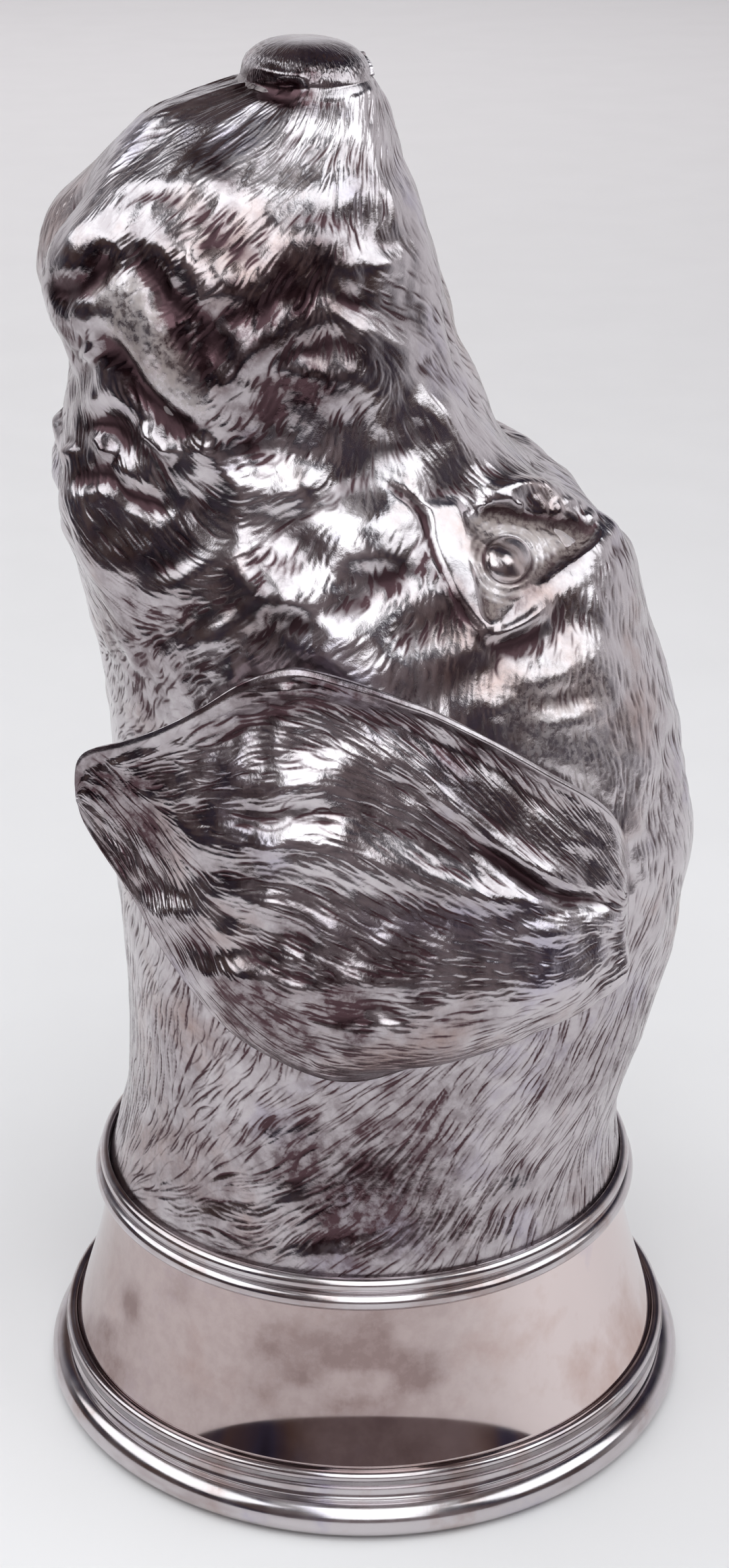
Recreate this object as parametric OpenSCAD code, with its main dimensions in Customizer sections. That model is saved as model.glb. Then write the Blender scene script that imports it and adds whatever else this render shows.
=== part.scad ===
// Stirrup cup in the form of a hound's head, standing on its mouth with the nose up.
// The origin is the centre of the mouth on the table, +Z runs up to the nose,
// +X is the forehead's side, -X the throat's side and -Y the hound's left side.

/* [Mouth] */
// Outer diameter of the roll round the mouth
mouth_d = 73.4; // [71:0.2:80]
// Height of the roll that the cup rests on
roll_h = 4; // [3:0.25:5]
// Height of the hollow above the roll
hollow_h = 2.3; // [1.6:0.1:3]
// Height of the bead on top of the moulding
bead_h = 1.1; // [0.8:0.1:1.6]
// Thickness of the moulding round the collar's foot
moulding_t = 3; // [2.6:0.1:4]

/* [Collar] */
// Height of the seam between collar and head
collar_h = 27; // [22:0.5:36]
// Thickness of the collar's sheet
collar_wall = 1.2; // [0.8:0.1:1.6]

/* [Neck] */
// Diameter of the neck at the seam
neck_d = 58.4; // [54:0.2:62]
// Height of the lower reed of the neck wire
lower_reed_h = 2; // [1.4:0.1:2.6]
// Height of the upper reed of the neck wire
upper_reed_h = 1.6; // [1:0.1:2.2]
// How far the neck wire reaches above the seam
reed_above_seam = 1.6; // [1:0.1:2.4]
// Length of the head's spigot inside the collar
spigot_l = 5; // [3:0.5:9]

/* [Head] */
// Height of the head from the seam to the nose
head_h = 124; // [112:1:136]
// Depth of the skull from crown to throat
skull_depth = 62.2; // [58:0.2:66]
// Width of the skull under the ears
skull_w = 57; // [52:0.5:62]
// Depth of the muzzle from bridge to lips
muzzle_depth = 39; // [34:0.2:42]
// Width of the muzzle across the lips
muzzle_w = 37.6; // [32:0.2:42]
// Thickness of the cast wall
head_wall = 1.7; // [1.4:0.1:2.4]
// How strongly brow, eye, cheek and lips stand out
relief = 1; // [0.5:0.1:1.3]

/* [Ears] */
// Angle of the ear's root round the head, from the crown
ear_root = 52; // [46:1:56]
// Angle of the left ear's tip round the head, from the crown
ear_tip = 149; // [142:1:152]
// Angle of the right ear's tip, which ends sooner and stays behind the throat
right_ear_tip = 132; // [124:1:138]
// Thickness of the ear
ear_wall = 2; // [1.6:0.1:2.6]
// How far the ear's rounded lower half stands off the head
ear_bulge = 5.2; // [3:0.2:6]
// How far the left ear's tip stands off the head
ear_tip_lift = 10.8; // [8:0.2:12]
// How far the right ear's tip stands off the head
right_tip_lift = 4; // [2.5:0.5:6]

/* [Fit] */
// Solder gap between pieces that seat on each other
seat = 0.1; // [0.05:0.05:0.2]

/* [Hidden] */
$fn = 96;

silver = [0.78, 0.76, 0.75];
bright_silver = [0.86, 0.85, 0.84];

neck_r = neck_d / 2;
foot_r = mouth_d / 2 - moulding_t - seat;
moulding_h = roll_h + hollow_h + bead_h;
spigot_r = neck_r - collar_wall - seat;

// Steps of the lofted grids: round the half head, along and across an ear
ROUND = 34;
ALONG = 28;
ACROSS = 12;
// Rows of the head's grid, closer over the face and the nose than on the neck
NECK_ROWS = 18;
FACE_ROWS = 38;
NOSE_ROWS = 6;
UP = NECK_ROWS + FACE_ROWS + NOSE_ROWS;

// Outlines of the head: height above the seam, then distance from the axis
CROWN = [[0, 29.2], [9, 28.8], [19, 31.6], [31, 34.4], [43, 35.2], [55, 33.2], [65, 29.8], [73, 26.4],
         [79, 19], [85, 13.6], [93, 10], [101, 7.6], [108, 5.6], [114, 3.2], [118, 1.8], [120.5, 0.4]];
THROAT = [[0, 29.2], [9, 26.8], [19, 26.2], [31, 26.6], [43, 27], [55, 26.8], [65, 28.2], [73, 30],
          [79, 31], [85, 30.5], [93, 30], [101, 31.4], [104.5, 30.6], [108, 28.8], [111.5, 27], [114, 25],
          [116, 22.8], [117.8, 20.2], [119, 17.2], [120, 14], [120.5, 12.2]];
SIDE = [[0, 29.2], [9, 27.4], [19, 27], [31, 28], [43, 28.5], [55, 28.2], [65, 27], [73, 25],
        [79, 22.4], [85, 20.5], [93, 19.3], [101, 18.8], [108, 17.2], [112, 15.2], [114, 13.8],
        [116, 12.4], [118, 10.8], [119.5, 9.4], [120.5, 8.6]];
// Where the head is widest, as a distance from the axis toward the crown
WIDEST = [[0, 0], [9, 0.5], [19, 2], [31, 3.5], [43, 4], [55, 2.5], [65, 0], [73, -3],
          [79, -7], [85, -10], [93, -13], [101, -15], [108, -14], [114, -11], [118, -8], [120.5, -6.5]];
// Sizes at which the outlines are drawn, read from the rows of seam, skull and muzzle.
// Each zone of the head stretches from them to its own driving size
SKULL_ROW = 4;
MUZZLE_ROW = 11;
DRAWN_NECK = 2 * SIDE[0][1];
DRAWN_SKULL = [CROWN[SKULL_ROW][1] + THROAT[SKULL_ROW][1], 2 * SIDE[SKULL_ROW][1]];
DRAWN_MUZZLE = [CROWN[MUZZLE_ROW][1] + THROAT[MUZZLE_ROW][1], 2 * SIDE[MUZZLE_ROW][1]];
SKULL_ZONE = [4, 36];
MUZZLE_ZONE = [62, 95];

// The nose closes the loft: its outlines end at the dome, which rises a little more to its middle
DOME = CROWN[len(CROWN) - 1][0];
NOSE_RISE = 3.5;
DRAWN_H = DOME + NOSE_RISE;
DOME_SPAN = 6;
NOSE_X = -6;
// Below 1 the nose is fuller than an ellipse
NOSE_FULL = 0.75;
// Where the rows of the face begin
FACE = 60;
// Below 1 the sections are fuller than an ellipse. The neck itself is round
FULLNESS = 0.92;
ROUND_NECK = [3, 17];
// Where the inside has left the spigot
SPIGOT_BLEND = 12;

// Swellings and hollows of the head: angle from the crown, height above the seam,
// spread in degrees, spread in millimetres, height of the swelling
BUMPS = [
    [0, 62, 8, 14, -1],       // furrow of the forehead
    [24, 77, 15, 5, 2.2],     // brow
    [55, 77, 13, 5, -2.4],    // eye socket
    [57, 77, 6, 3, 2.4],      // eyeball
    [92, 66, 20, 8, 1],       // cheek
    [105, 100, 22, 8, 1.2],   // upper lip
    [156, 104, 18, 7, 1.4],   // hanging edge of the upper lip
    [170, 91, 12, 4, -0.6],   // mouth at the front
    [156, 80, 18, 6, 2],      // lower lip
    [108, 119, 12, 2.5, -1]   // nostril
];

// The face is drawn on a sheet, as it looks from the hound's left and a little above, and pressed
// into the head from there. On the sheet x runs right and y up, in millimetres at the cup's middle
SHEET_EYE = [-46.5, -263.8, 188.7];
SHEET_DOWN = 23.5;
SHEET_ROUND = -10;
SHEET_DEPTH = 320;
SHEET_SEAM = 27;
// How squarely a place must face the sheet to take its marks
SHEET_FACING = 0.25;

// Furrows and ridges: points on the sheet, half width, height
LINES = [
    [[[-39, 59.6], [-35.4, 58.6], [-32.4, 59.4], [-28.4, 63.6]], 1.8, -0.9],       // under the upper lip
    [[[-28.8, 63.6], [-24, 58.8], [-19.4, 55.8], [-17.2, 57.4]], 1.8, -0.7],       // fold above the lip
    [[[-25.4, 61.4], [-23, 54.4], [-20.6, 48.6]], 1.8, -0.6],                      // behind the lip
    [[[-30, 58], [-26.6, 53], [-22.6, 47.6], [-19.6, 44.6]], 2, 0.4],              // band of the lip
    [[[-19.6, 44.6], [-12.4, 52.2], [-7, 56.8]], 1.8, 0.5],                        // rising fold
    [[[-32.8, 55.6], [-28.8, 49.4], [-24, 43.6], [-17.6, 41.4]], 1.6, -1.3],       // mouth
    [[[-36.2, 34.8], [-31.2, 36.6], [-22, 31.6]], 1.6, -0.7],                      // under the lower lip
    [[[-34.6, 43.2], [-30.2, 43], [-27.2, 44.2]], 1.5, -0.6],                      // above the lower lip
    [[[-32.4, 42.4], [-31.2, 40.6], [-29.8, 38]], 1.4, 0.7],                       // folds of the lower lip
    [[[-27.4, 42.4], [-25, 40.8], [-22.2, 38]], 1.4, 0.6],
    [[[7, 33.4], [7.5, 29.8], [8.9, 25.1], [11.1, 21], [14.2, 17.4]], 1.2, -0.5],  // before the lower lid
    [[[-14.8, 50.4], [-11.2, 43.6], [-13.2, 32.6]], 1.9, -0.8],                    // cheek
    [[[-24, 36.8], [-19, 33], [-17.6, 27.6]], 1.8, -0.6],                          // jaw
    [[[9.8, 32.5], [10.4, 27.5], [12.2, 22.5], [14.6, 18.4]], 1.5, 0.5],           // lower lid
    [[[14.8, 18.2], [20.4, 20.4], [25, 24.6], [27.8, 28.4]], 1.5, 0.5],            // outer lid
    [[[12.2, 13.8], [18.2, 15.6], [25, 19.6], [28.6, 22.4]], 1.7, -0.7],           // under the eye
    [[[12.6, 33.8], [17.8, 34.8], [22.4, 34.2], [26.5, 32.8], [29, 30.6]], 1.5, 1] // brow
];
// Swollen and sunk ovals: place, two radii, turn, height
LUMPS = [
    [-33.6, 64.4, 5, 3.6, 20, 1], [-21.8, 62.4, 4.2, 3.4, -40, 0.9], [-18.6, 52.4, 2.8, 4.2, -10, -0.9],
    [-31.2, 45.6, 3.2, 2.2, 60, 0.8], [18, 26.6, 4.5, 4, 40, -0.7]
];
// Tilted ovals: place, two radii, turn, slope, and which way they lean, 90 being up
FACETS = [
    [-6, 71, 4, 3.4, -20, 0.15, 90], [-25.5, 73, 3.6, 2.6, 40, 0.12, 110],
    [-33, 66.5, 4.8, 3, 60, 0.15, 140], [-19, 69, 2.2, 3, 70, -0.25, 90],
    [-14, 65.5, 3, 2.6, 50, -0.25, 90], [1.5, 68, 2.2, 3.6, 100, -0.25, 60],
    [3, 59, 3, 2.6, 100, -0.2, 90], [-0.5, 55.5, 2.6, 1.4, -30, 0.35, 100],
    [-7, 50, 2.2, 1.4, 0, 0.38, 90], [-8.5, 59.5, 4, 2.6, 30, -0.2, 90],
    [-16, 56.5, 2.6, 1.8, 40, -0.2, 90], [-3, 32, 3.2, 2.6, 40, 0.32, 90],
    [2, 34, 3.2, 3, 60, 0.3, 90], [-8, 24.5, 3.6, 2.2, 35, 0.35, 90],
    [-1.5, 19.5, 3.2, 1.8, 30, 0.35, 90], [9.5, 46, 2.6, 2.2, -40, 0.28, 80],
    [8.5, 21, 2.2, 3.6, 120, -0.25, 90], [-10.5, 33, 2.2, 3.6, 80, -0.2, 90],
    [-29.5, 33.5, 4, 2.6, 20, -0.25, 90], [9.5, 12.5, 3.6, 2.2, 30, -0.25, 90],
    [18, 13, 1.8, 3.2, 70, -0.25, 90], [-1.5, 45, 3.6, 2.2, 30, -0.25, 90],
    [1.5, 33.5, 5.5, 4.5, 40, 0.16, 80], [-20, 74, 9, 4, 40, 0.1, 100],
    [-2.5, 78, 4.4, 2, -10, 0.1, 90], [-8.5, 65.5, 2, 1.4, 20, 0.22, 100],
    [5.5, 67.5, 4.8, 1.4, 110, 0.2, 60], [5, 52.5, 2.2, 1.4, -40, 0.25, 80],
    [-4, 54, 1.8, 1.8, 0, -0.25, 90], [-7.5, 36.5, 2, 1.6, 40, 0.38, 90],
    [4.5, 38, 2.2, 1.6, -30, 0.3, 100], [24.5, 9, 3, 1.6, 10, 0.4, 100],
    [14.5, 42, 3.2, 1.2, 125, 0.2, 60], [0.5, 25.5, 3.6, 1.4, 10, -0.3, 90],
    [-11.5, 20.5, 1.8, 2.6, 60, -0.25, 90], [11, 37.5, 2.2, 2.2, 0, -0.2, 90],
    [23, 14, 2.6, 1.4, 40, 0.3, 90], [-18, 27.5, 2.2, 1.4, 30, 0.2, 90],
    [-22.5, 25, 2.2, 1.2, 20, 0.25, 100], [-16, 19.5, 3, 1.4, 40, 0.2, 100],
    [-23, 20.5, 2.6, 1.8, 40, -0.2, 90], [-19.5, 15, 3, 1.4, 40, -0.15, 90]
];
// A tilted oval fades out over this much more than its radii
FACET_FADE = 1.5;
// The inside stays clear of a furrow this far up and down from it
FURROW_REACH = 2;

// Edges of the ear: angle from the crown, then height above the seam
DRAWN_EAR = [52, 149];
EAR_FRONT = [[52, 46], [55, 47.8], [63, 53.7], [72, 58], [83, 63.4], [91, 67], [100, 69.5], [107, 70.4],
             [116, 69], [125, 66.2], [133, 63.5], [140, 61], [145, 58.8], [148, 56.6], [149, 55.2]];
EAR_BACK = [[52, 41], [56, 34.5], [60, 31.2], [70, 29.2], [82, 27.4], [91, 26.2], [101, 25.6], [108, 26.3],
            [116, 28.3], [125, 31.7], [131, 35.8], [137, 41.4], [140, 45.6], [143, 48.9], [147, 52.4],
            [148.4, 54], [149, 55]];
// Lift of the ear's edges off the head, before the tip's own lift
EAR_LIFT = 2.2;
// How late along the ear its tip swings off the head
EAR_SWING = 2.6;
// Above 1 the ear is fullest below its middle
EAR_FULL = 2.6;
// The shallow hollow behind the front edge
EAR_HOLLOW = 0.9;

// A smooth curve through the points of an outline
function slope(p, i) =
    let (a = max(i - 1, 0), b = min(i + 1, len(p) - 1))
    (p[b][1] - p[a][1]) / (p[b][0] - p[a][0]);
function span(p, x, i = 0) = i >= len(p) - 2 || x < p[i + 1][0] ? i : span(p, x, i + 1);
function curve(p, x) =
    let (i = span(p, x), h = p[i + 1][0] - p[i][0], u = (x - p[i][0]) / h)
    p[i][1] * (1 + 2 * u) * pow(1 - u, 2) + h * slope(p, i) * u * pow(1 - u, 2)
    + p[i + 1][1] * pow(u, 2) * (3 - 2 * u) + h * slope(p, i + 1) * pow(u, 2) * (u - 1);

function ease(x, from, to) =
    let (u = min(max((x - from) / (to - from), 0), 1))
    u * u * (3 - 2 * u);
function power(x, n) = sign(x) * pow(abs(x), n);

// How far a zone of the drawn head is stretched: neck, then skull, then muzzle
function stretch(h, neck, skull, muzzle) =
    neck + (skull - neck) * ease(h, SKULL_ZONE[0], SKULL_ZONE[1])
    + (muzzle - skull) * ease(h, MUZZLE_ZONE[0], MUZZLE_ZONE[1]);

// One level of the head: crown, throat, half width and widest place, drawn height h
function level(h) =
    let (n = neck_d / DRAWN_NECK,
         d = stretch(h, n, skull_depth / DRAWN_SKULL[0], muzzle_depth / DRAWN_MUZZLE[0]),
         w = stretch(h, n, skull_w / DRAWN_SKULL[1], muzzle_w / DRAWN_MUZZLE[1]))
    [curve(CROWN, h) * d, -curve(THROAT, h) * d, curve(SIDE, h) * w, curve(WIDEST, h) * d];

function sum_of(v) = v * [for (x = v) 1];
// Distance from a point to the line through a list of points
function to_segment(q, a, b) =
    let (u = (q - a) * (b - a) / ((b - a) * (b - a)))
    norm(q - a - (b - a) * min(max(u, 0), 1));
function to_line(q, line) = min([for (i = [0:len(line) - 2]) to_segment(q, line[i], line[i + 1])]);

function bumps(angle, h) =
    sum_of([for (b = BUMPS) b[4] * exp(-pow((angle - b[0]) / b[2], 2) - pow((h - b[1]) / b[3], 2))]);

// The head's section at an angle and a drawn height, as [cosine, sine] of its rounded outline
function section(angle, h) =
    let (full = 1 + (FULLNESS - 1) * ease(h, ROUND_NECK[0], ROUND_NECK[1]))
    [power(cos(angle), full), power(sin(angle), full)];

// Where a drawn point falls on the sheet, and how squarely it faces it
function on_sheet(p) =
    let (away = p - SHEET_EYE,
         right = [cos(SHEET_ROUND), sin(SHEET_ROUND), 0],
         level_ahead = cos(SHEET_DOWN),
         ahead = [-sin(SHEET_ROUND) * level_ahead, cos(SHEET_ROUND) * level_ahead, -sin(SHEET_DOWN)],
         scale = SHEET_DEPTH / (away * ahead))
    [away * right * scale, away * cross(right, ahead) * scale];
function facing(p, out) = ease(out * (SHEET_EYE - p) / norm(SHEET_EYE - p), 0, SHEET_FACING);

// How far a place on the sheet lies inside an oval, as an exponent
function oval(d, long, wide, turn) =
    pow((d[0] * cos(turn) + d[1] * sin(turn)) / long, 2)
    + pow((d[1] * cos(turn) - d[0] * sin(turn)) / wide, 2);
function tilt(d, f) = -f[5] * (d * [cos(f[6]), sin(f[6])])
    * exp(-oval(d, FACET_FADE * f[2], FACET_FADE * f[3], f[4]));
function marks(angle, h) =
    let (k = section(angle, h),
         widest = curve(WIDEST, h),
         reach = k[0] > 0 ? curve(CROWN, h) - widest : widest + curve(THROAT, h),
         p = [widest + reach * k[0], -curve(SIDE, h) * k[1], SHEET_SEAM + h],
         face = facing(p, [cos(angle), -sin(angle), 0]),
         q = on_sheet(p))
    face == 0 ? 0 : face * (
        sum_of([for (l = LINES) l[2] * exp(-pow(to_line(q, l[0]) / l[1], 2))])
        + sum_of([for (l = LUMPS) l[5] * exp(-oval(q - [l[0], l[1]], l[2], l[3], l[4]))])
        + sum_of([for (f = FACETS) tilt(q - [f[0], f[1]], f)]));
// The inside keeps clear of every furrow round it
function deepest(angle, h) = min([0,
    for (a = [-180 / ROUND, 0, 180 / ROUND]) for (d = [-FURROW_REACH, 0, FURROW_REACH])
        marks(min(max(angle + a, 0), 180), min(h + d, DOME))]);

// A point of the head, at an angle from the crown over the left side to the throat and at a drawn
// height above the seam. It lies `off` outside the skin, or inside if negative
function head_point(angle, height, off = 0) =
    let (h = min(height, DOME),
         dome = 90 * (height - h) / DOME_SPAN,
         v = level(h),
         k = section(angle, h),
         reach = k[0] > 0 ? v[0] - v[3] : v[3] - v[1],
         out = off + relief * (bumps(angle, height) + (off < 0 ? deepest(angle, h) : marks(angle, h))),
         shrink = pow(cos(dome), NOSE_FULL),
         x = NOSE_X + (v[3] + (reach + out) * k[0] - NOSE_X) * shrink,
         y = -(v[2] + out) * k[1] * shrink,
         z = (h + NOSE_RISE * pow(sin(dome), 0.9)) * (head_h + min(off, 0)) / DRAWN_H)
    [x, y, collar_h + z];

// Drawn height of a row of the head's grid
function row_height(j) =
    j < NECK_ROWS ? FACE * j / NECK_ROWS
    : j < NECK_ROWS + FACE_ROWS ? FACE + (DOME - FACE) * (j - NECK_ROWS) / FACE_ROWS
    : DOME + DOME_SPAN * (j - NECK_ROWS - FACE_ROWS) / NOSE_ROWS;

// The cast wall is thicker at the neck, where it steps in to the spigot
function wall_at(height) = head_wall + (collar_wall + seat) * (1 - ease(height, 0, SPIGOT_BLEND));

function ring(r, z, n) = [for (i = [0:n]) let (a = 180 * i / n) [r * cos(a), -r * sin(a), z]];
function flat(rows) = [for (r = rows) for (p = r) p];

// Faces of a grid of rows, n steps wide and m rows high, whose points start at first
function grid_faces(n, m, first = 0, turned = false) = [
    for (j = [0:m - 2]) for (i = [0:n - 1])
    let (a = first + j * (n + 1) + i, b = a + n + 1)
    for (f = [[a, a + 1, b + 1], [a, b + 1, b]]) turned ? reversed(f) : f];
function cap_faces(n, first, pole, turned = false) = [
    for (i = [0:n - 1])
    turned ? [pole, first + i + 1, first + i] : [first + i, first + i + 1, pole]];
function column(n, m, i, first = 0) = [for (j = [0:m - 1]) first + j * (n + 1) + i];
function reversed(v) = [for (i = [len(v) - 1:-1:0]) v[i]];
// Faces between an edge a and an edge b that has half as many steps
function zip_faces(a, b, turned = false) = [
    for (k = [0:len(b) - 2]) let (c = 2 * k)
    for (f = [[a[c], a[c + 1], b[k]], [a[c + 1], b[k + 1], b[k]], [a[c + 1], a[c + 2], b[k + 1]]])
    turned ? reversed(f) : f];

// Half of the hollow head: skin, inside, seam face on the midline and the spigot's end.
// The inside has half as many steps each way as the skin
module head_half() {
    inner_round = ROUND / 2;
    spigot_z = collar_h - spigot_l;
    skin = flat(concat(
        [ring(spigot_r, spigot_z, ROUND), ring(spigot_r, collar_h, ROUND)],
        [for (j = [0:UP - 1]) [for (i = [0:ROUND]) head_point(180 * i / ROUND, row_height(j))]],
        [[head_point(0, row_height(UP))]]));
    inside = flat(concat(
        [ring(spigot_r - head_wall, spigot_z, inner_round)],
        [for (j = [1:2:UP - 1]) let (h = row_height(j))
            [for (i = [0:inner_round]) head_point(180 * i / inner_round, h, -wall_at(h))]],
        [[head_point(0, row_height(UP), -head_wall)]]));
    first = len(skin);
    skin_rows = UP + 2;
    inner_rows = UP / 2 + 1;
    pole = first - 1;
    inner_pole = first + len(inside) - 1;
    crown_seam = zip_faces(
        concat(column(ROUND, skin_rows, 0), [pole]),
        concat(column(inner_round, inner_rows, 0, first), [inner_pole]));
    throat_seam = zip_faces(
        concat(column(ROUND, skin_rows, ROUND), [pole]),
        concat(column(inner_round, inner_rows, inner_round, first), [inner_pole]), true);
    spigot_end = zip_faces(
        [for (i = [0:ROUND]) i], [for (i = [0:inner_round]) first + i], true);
    polyhedron(
        points = concat(skin, inside),
        faces = concat(
            grid_faces(ROUND, skin_rows),
            cap_faces(ROUND, (skin_rows - 1) * (ROUND + 1), pole),
            grid_faces(inner_round, inner_rows, first, true),
            cap_faces(inner_round, first + (inner_rows - 1) * (inner_round + 1), inner_pole, true),
            crown_seam, throat_seam, spigot_end),
        convexity = 6);
}

// Lift of the ear's outer face, s from root to tip and c from front edge to back edge
function ear_lift(s, c, tip_lift) =
    EAR_LIFT + (tip_lift - EAR_LIFT) * pow(s, EAR_SWING)
    + ear_bulge * sin(180 * pow(c, EAR_FULL)) * sin(180 * min(s * 1.15, 1))
    - EAR_HOLLOW * exp(-pow((c - 0.18) / 0.12, 2)) * sin(180 * s);

function ear_point(s, c, inner, tip, tip_lift) =
    let (drawn = DRAWN_EAR[0] + (DRAWN_EAR[1] - DRAWN_EAR[0]) * s,
         angle = ear_root + (tip - ear_root) * s,
         h = curve(EAR_FRONT, drawn) * (1 - c) + curve(EAR_BACK, drawn) * c,
         lift = ear_lift(s, c, tip_lift))
    head_point(angle, h, inner ? max(seat, lift - ear_wall) : lift);

// One ear: an outer and an inner sheet over the head, closed all round
module ear(tip, tip_lift) {
    function sheet(inner) = [
        for (i = [0:ALONG]) let (s = (1 - cos(180 * i / ALONG)) / 2)
        for (k = [0:ACROSS]) ear_point(s, (1 - cos(180 * k / ACROSS)) / 2, inner, tip, tip_lift)];
    size = (ALONG + 1) * (ACROSS + 1);
    rim = concat(
        [for (k = [0:ACROSS - 1]) k],
        [for (i = [0:ALONG - 1]) i * (ACROSS + 1) + ACROSS],
        [for (k = [ACROSS:-1:1]) ALONG * (ACROSS + 1) + k],
        [for (i = [ALONG:-1:1]) i * (ACROSS + 1)]);
    polyhedron(
        points = concat(sheet(false), sheet(true)),
        faces = concat(
            grid_faces(ACROSS, ALONG + 1),
            grid_faces(ACROSS, ALONG + 1, size, true),
            [for (i = [0:len(rim) - 1]) let (a = rim[i], b = rim[(i + 1) % len(rim)])
                for (f = [[b, a, a + size], [b, a + size, b + size]]) f]),
        convexity = 6);
}

module head_left_half() {
    color(silver) head_half();
}

module head_right_half() {
    color(silver) mirror([0, 1, 0]) head_half();
}

module left_ear() {
    color(silver) ear(ear_tip, ear_tip_lift);
}

module right_ear() {
    color(silver) mirror([0, 1, 0]) ear(right_ear_tip, right_tip_lift);
}

// Radius of the collar's outer face: upright at the neck, spreading to the foot
function collar_r(z) =
    neck_r + (foot_r - neck_r) * pow((collar_h - z) / (collar_h - moulding_h), 1.7);

module collar() {
    levels = [for (k = [0:16]) collar_h - (collar_h - moulding_h) * k / 16];
    bore_z = collar_h - spigot_l;
    outer = [for (z = levels) [collar_r(z), z]];
    inner = [for (z = reversed(levels)) if (z < bore_z - 0.5) [collar_r(z) - collar_wall, z]];
    bore_r = neck_r - collar_wall;
    color(bright_silver)
        rotate_extrude()
            polygon(concat(
                outer, [[foot_r, 0], [foot_r - collar_wall, 0]], inner,
                [[bore_r, bore_z], [bore_r, collar_h]]));
}

// A wire of two reeds with a flat back, soldered over the seam of neck and collar
module neck_reeding() {
    back_r = neck_r + seat;
    top = collar_h + reed_above_seam;
    wire_h = lower_reed_h + upper_reed_h;
    color(bright_silver)
        rotate_extrude()
            intersection() {
                translate([back_r, top - wire_h])
                    square([wire_h, wire_h]);
                union() {
                    translate([back_r, top - wire_h])
                        square([upper_reed_h / 4, wire_h]);
                    translate([back_r, top - upper_reed_h / 2])
                        circle(d = upper_reed_h);
                    translate([back_r + upper_reed_h / 4, top - wire_h + lower_reed_h / 2])
                        circle(d = lower_reed_h);
                }
            }
}

// Bead, hollow and roll, slipped over the collar's foot. The roll is what the cup stands on
module mouth_moulding() {
    back_r = foot_r + seat;
    roll_x = mouth_d / 2 - roll_h / 2;
    bead_x = back_r + bead_h / 2;
    hollow_x = bead_x + bead_h / 2 + hollow_h * 0.45;
    color(bright_silver)
        rotate_extrude()
            union() {
                difference() {
                    translate([back_r, 0])
                        square([roll_x - back_r, moulding_h - bead_h / 2]);
                    translate([hollow_x, roll_h + hollow_h / 2])
                        circle(d = hollow_h * 1.25);
                    translate([hollow_x, roll_h])
                        square([roll_x, moulding_h]);
                }
                translate([back_r, moulding_h - bead_h])
                    square([bead_h / 2, bead_h]);
                translate([bead_x, moulding_h - bead_h / 2])
                    circle(d = bead_h);
                intersection() {
                    translate([back_r, 0])
                        square([roll_h + roll_x - back_r, roll_h]);
                    translate([roll_x, roll_h / 2])
                        circle(d = roll_h);
                }
            }
}

head_left_half();
head_right_half();
left_ear();
right_ear();
collar();
neck_reeding();
mouth_moulding();
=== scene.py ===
# %% [markdown]
# # A hound's-head stirrup cup in silver
# This cup stands on its mouth with the hound's nose in the air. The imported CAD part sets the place
# and size of every piece. The script repeats its outlines in millimetres and dresses them with
# what the CAD leaves out. The steps are the camera, the cast head with its chased fur, the two
# ears, the turned rings, the silver, and the studio.

import math

import bpy
import numpy as np
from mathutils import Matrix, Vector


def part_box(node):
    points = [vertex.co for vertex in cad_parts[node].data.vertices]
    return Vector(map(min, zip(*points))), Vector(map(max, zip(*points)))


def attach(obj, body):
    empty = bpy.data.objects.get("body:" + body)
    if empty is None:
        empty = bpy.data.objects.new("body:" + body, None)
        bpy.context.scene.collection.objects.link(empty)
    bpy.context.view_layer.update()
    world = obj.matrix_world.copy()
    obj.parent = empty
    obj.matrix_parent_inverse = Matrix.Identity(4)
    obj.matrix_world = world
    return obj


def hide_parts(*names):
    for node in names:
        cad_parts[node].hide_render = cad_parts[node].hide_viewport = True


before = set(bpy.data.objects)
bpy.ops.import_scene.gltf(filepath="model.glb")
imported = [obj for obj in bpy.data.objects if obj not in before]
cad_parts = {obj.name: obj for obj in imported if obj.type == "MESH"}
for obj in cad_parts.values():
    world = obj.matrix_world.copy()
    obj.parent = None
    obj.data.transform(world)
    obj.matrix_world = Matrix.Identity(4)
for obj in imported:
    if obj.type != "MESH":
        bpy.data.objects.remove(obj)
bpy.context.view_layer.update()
MM = 0.001
REED_BELOW_SEAM = 2.0
SEAM_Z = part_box("neck_reeding")[0][2] / MM + REED_BELOW_SEAM
print("neck seam at", round(SEAM_Z, 2), "mm")

# %% [markdown]
# ## The camera
# A photograph is matched first of all by where its camera stood. The cup was seen from a little
# above and from the hound's left, so the lens sits high and looks down by 23.5 degrees. The
# focal length is worked out from the height of the picture, which is the longer side.

# %% Set up the camera
IMAGE_HEIGHT = 2323
FOCAL_PIXELS = 4000
EYE = np.array((-46.5, -263.8, 188.7))
LOOK_DOWN, LOOK_ROUND = math.radians(23.5), math.radians(-10)

lens = bpy.data.cameras.new("camera")
lens.sensor_width = 36
lens.lens = lens.sensor_width * FOCAL_PIXELS / IMAGE_HEIGHT
camera = bpy.data.objects.new("camera", lens)
camera.location = EYE * MM
camera.rotation_euler = (math.pi / 2 - LOOK_DOWN, 0, LOOK_ROUND)
bpy.context.collection.objects.link(camera)
bpy.context.scene.camera = camera
print("lens", round(lens.lens, 1), "mm")

# %% [markdown]
# The chaser's marks are drawn on a flat sheet, as seen by that camera, and pressed into the metal
# from there. One unit of the sheet is a millimetre at the cup's middle, 0 is the middle of the
# picture, x runs right and y up. The helper below says where a point of the cup falls on the sheet.

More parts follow.
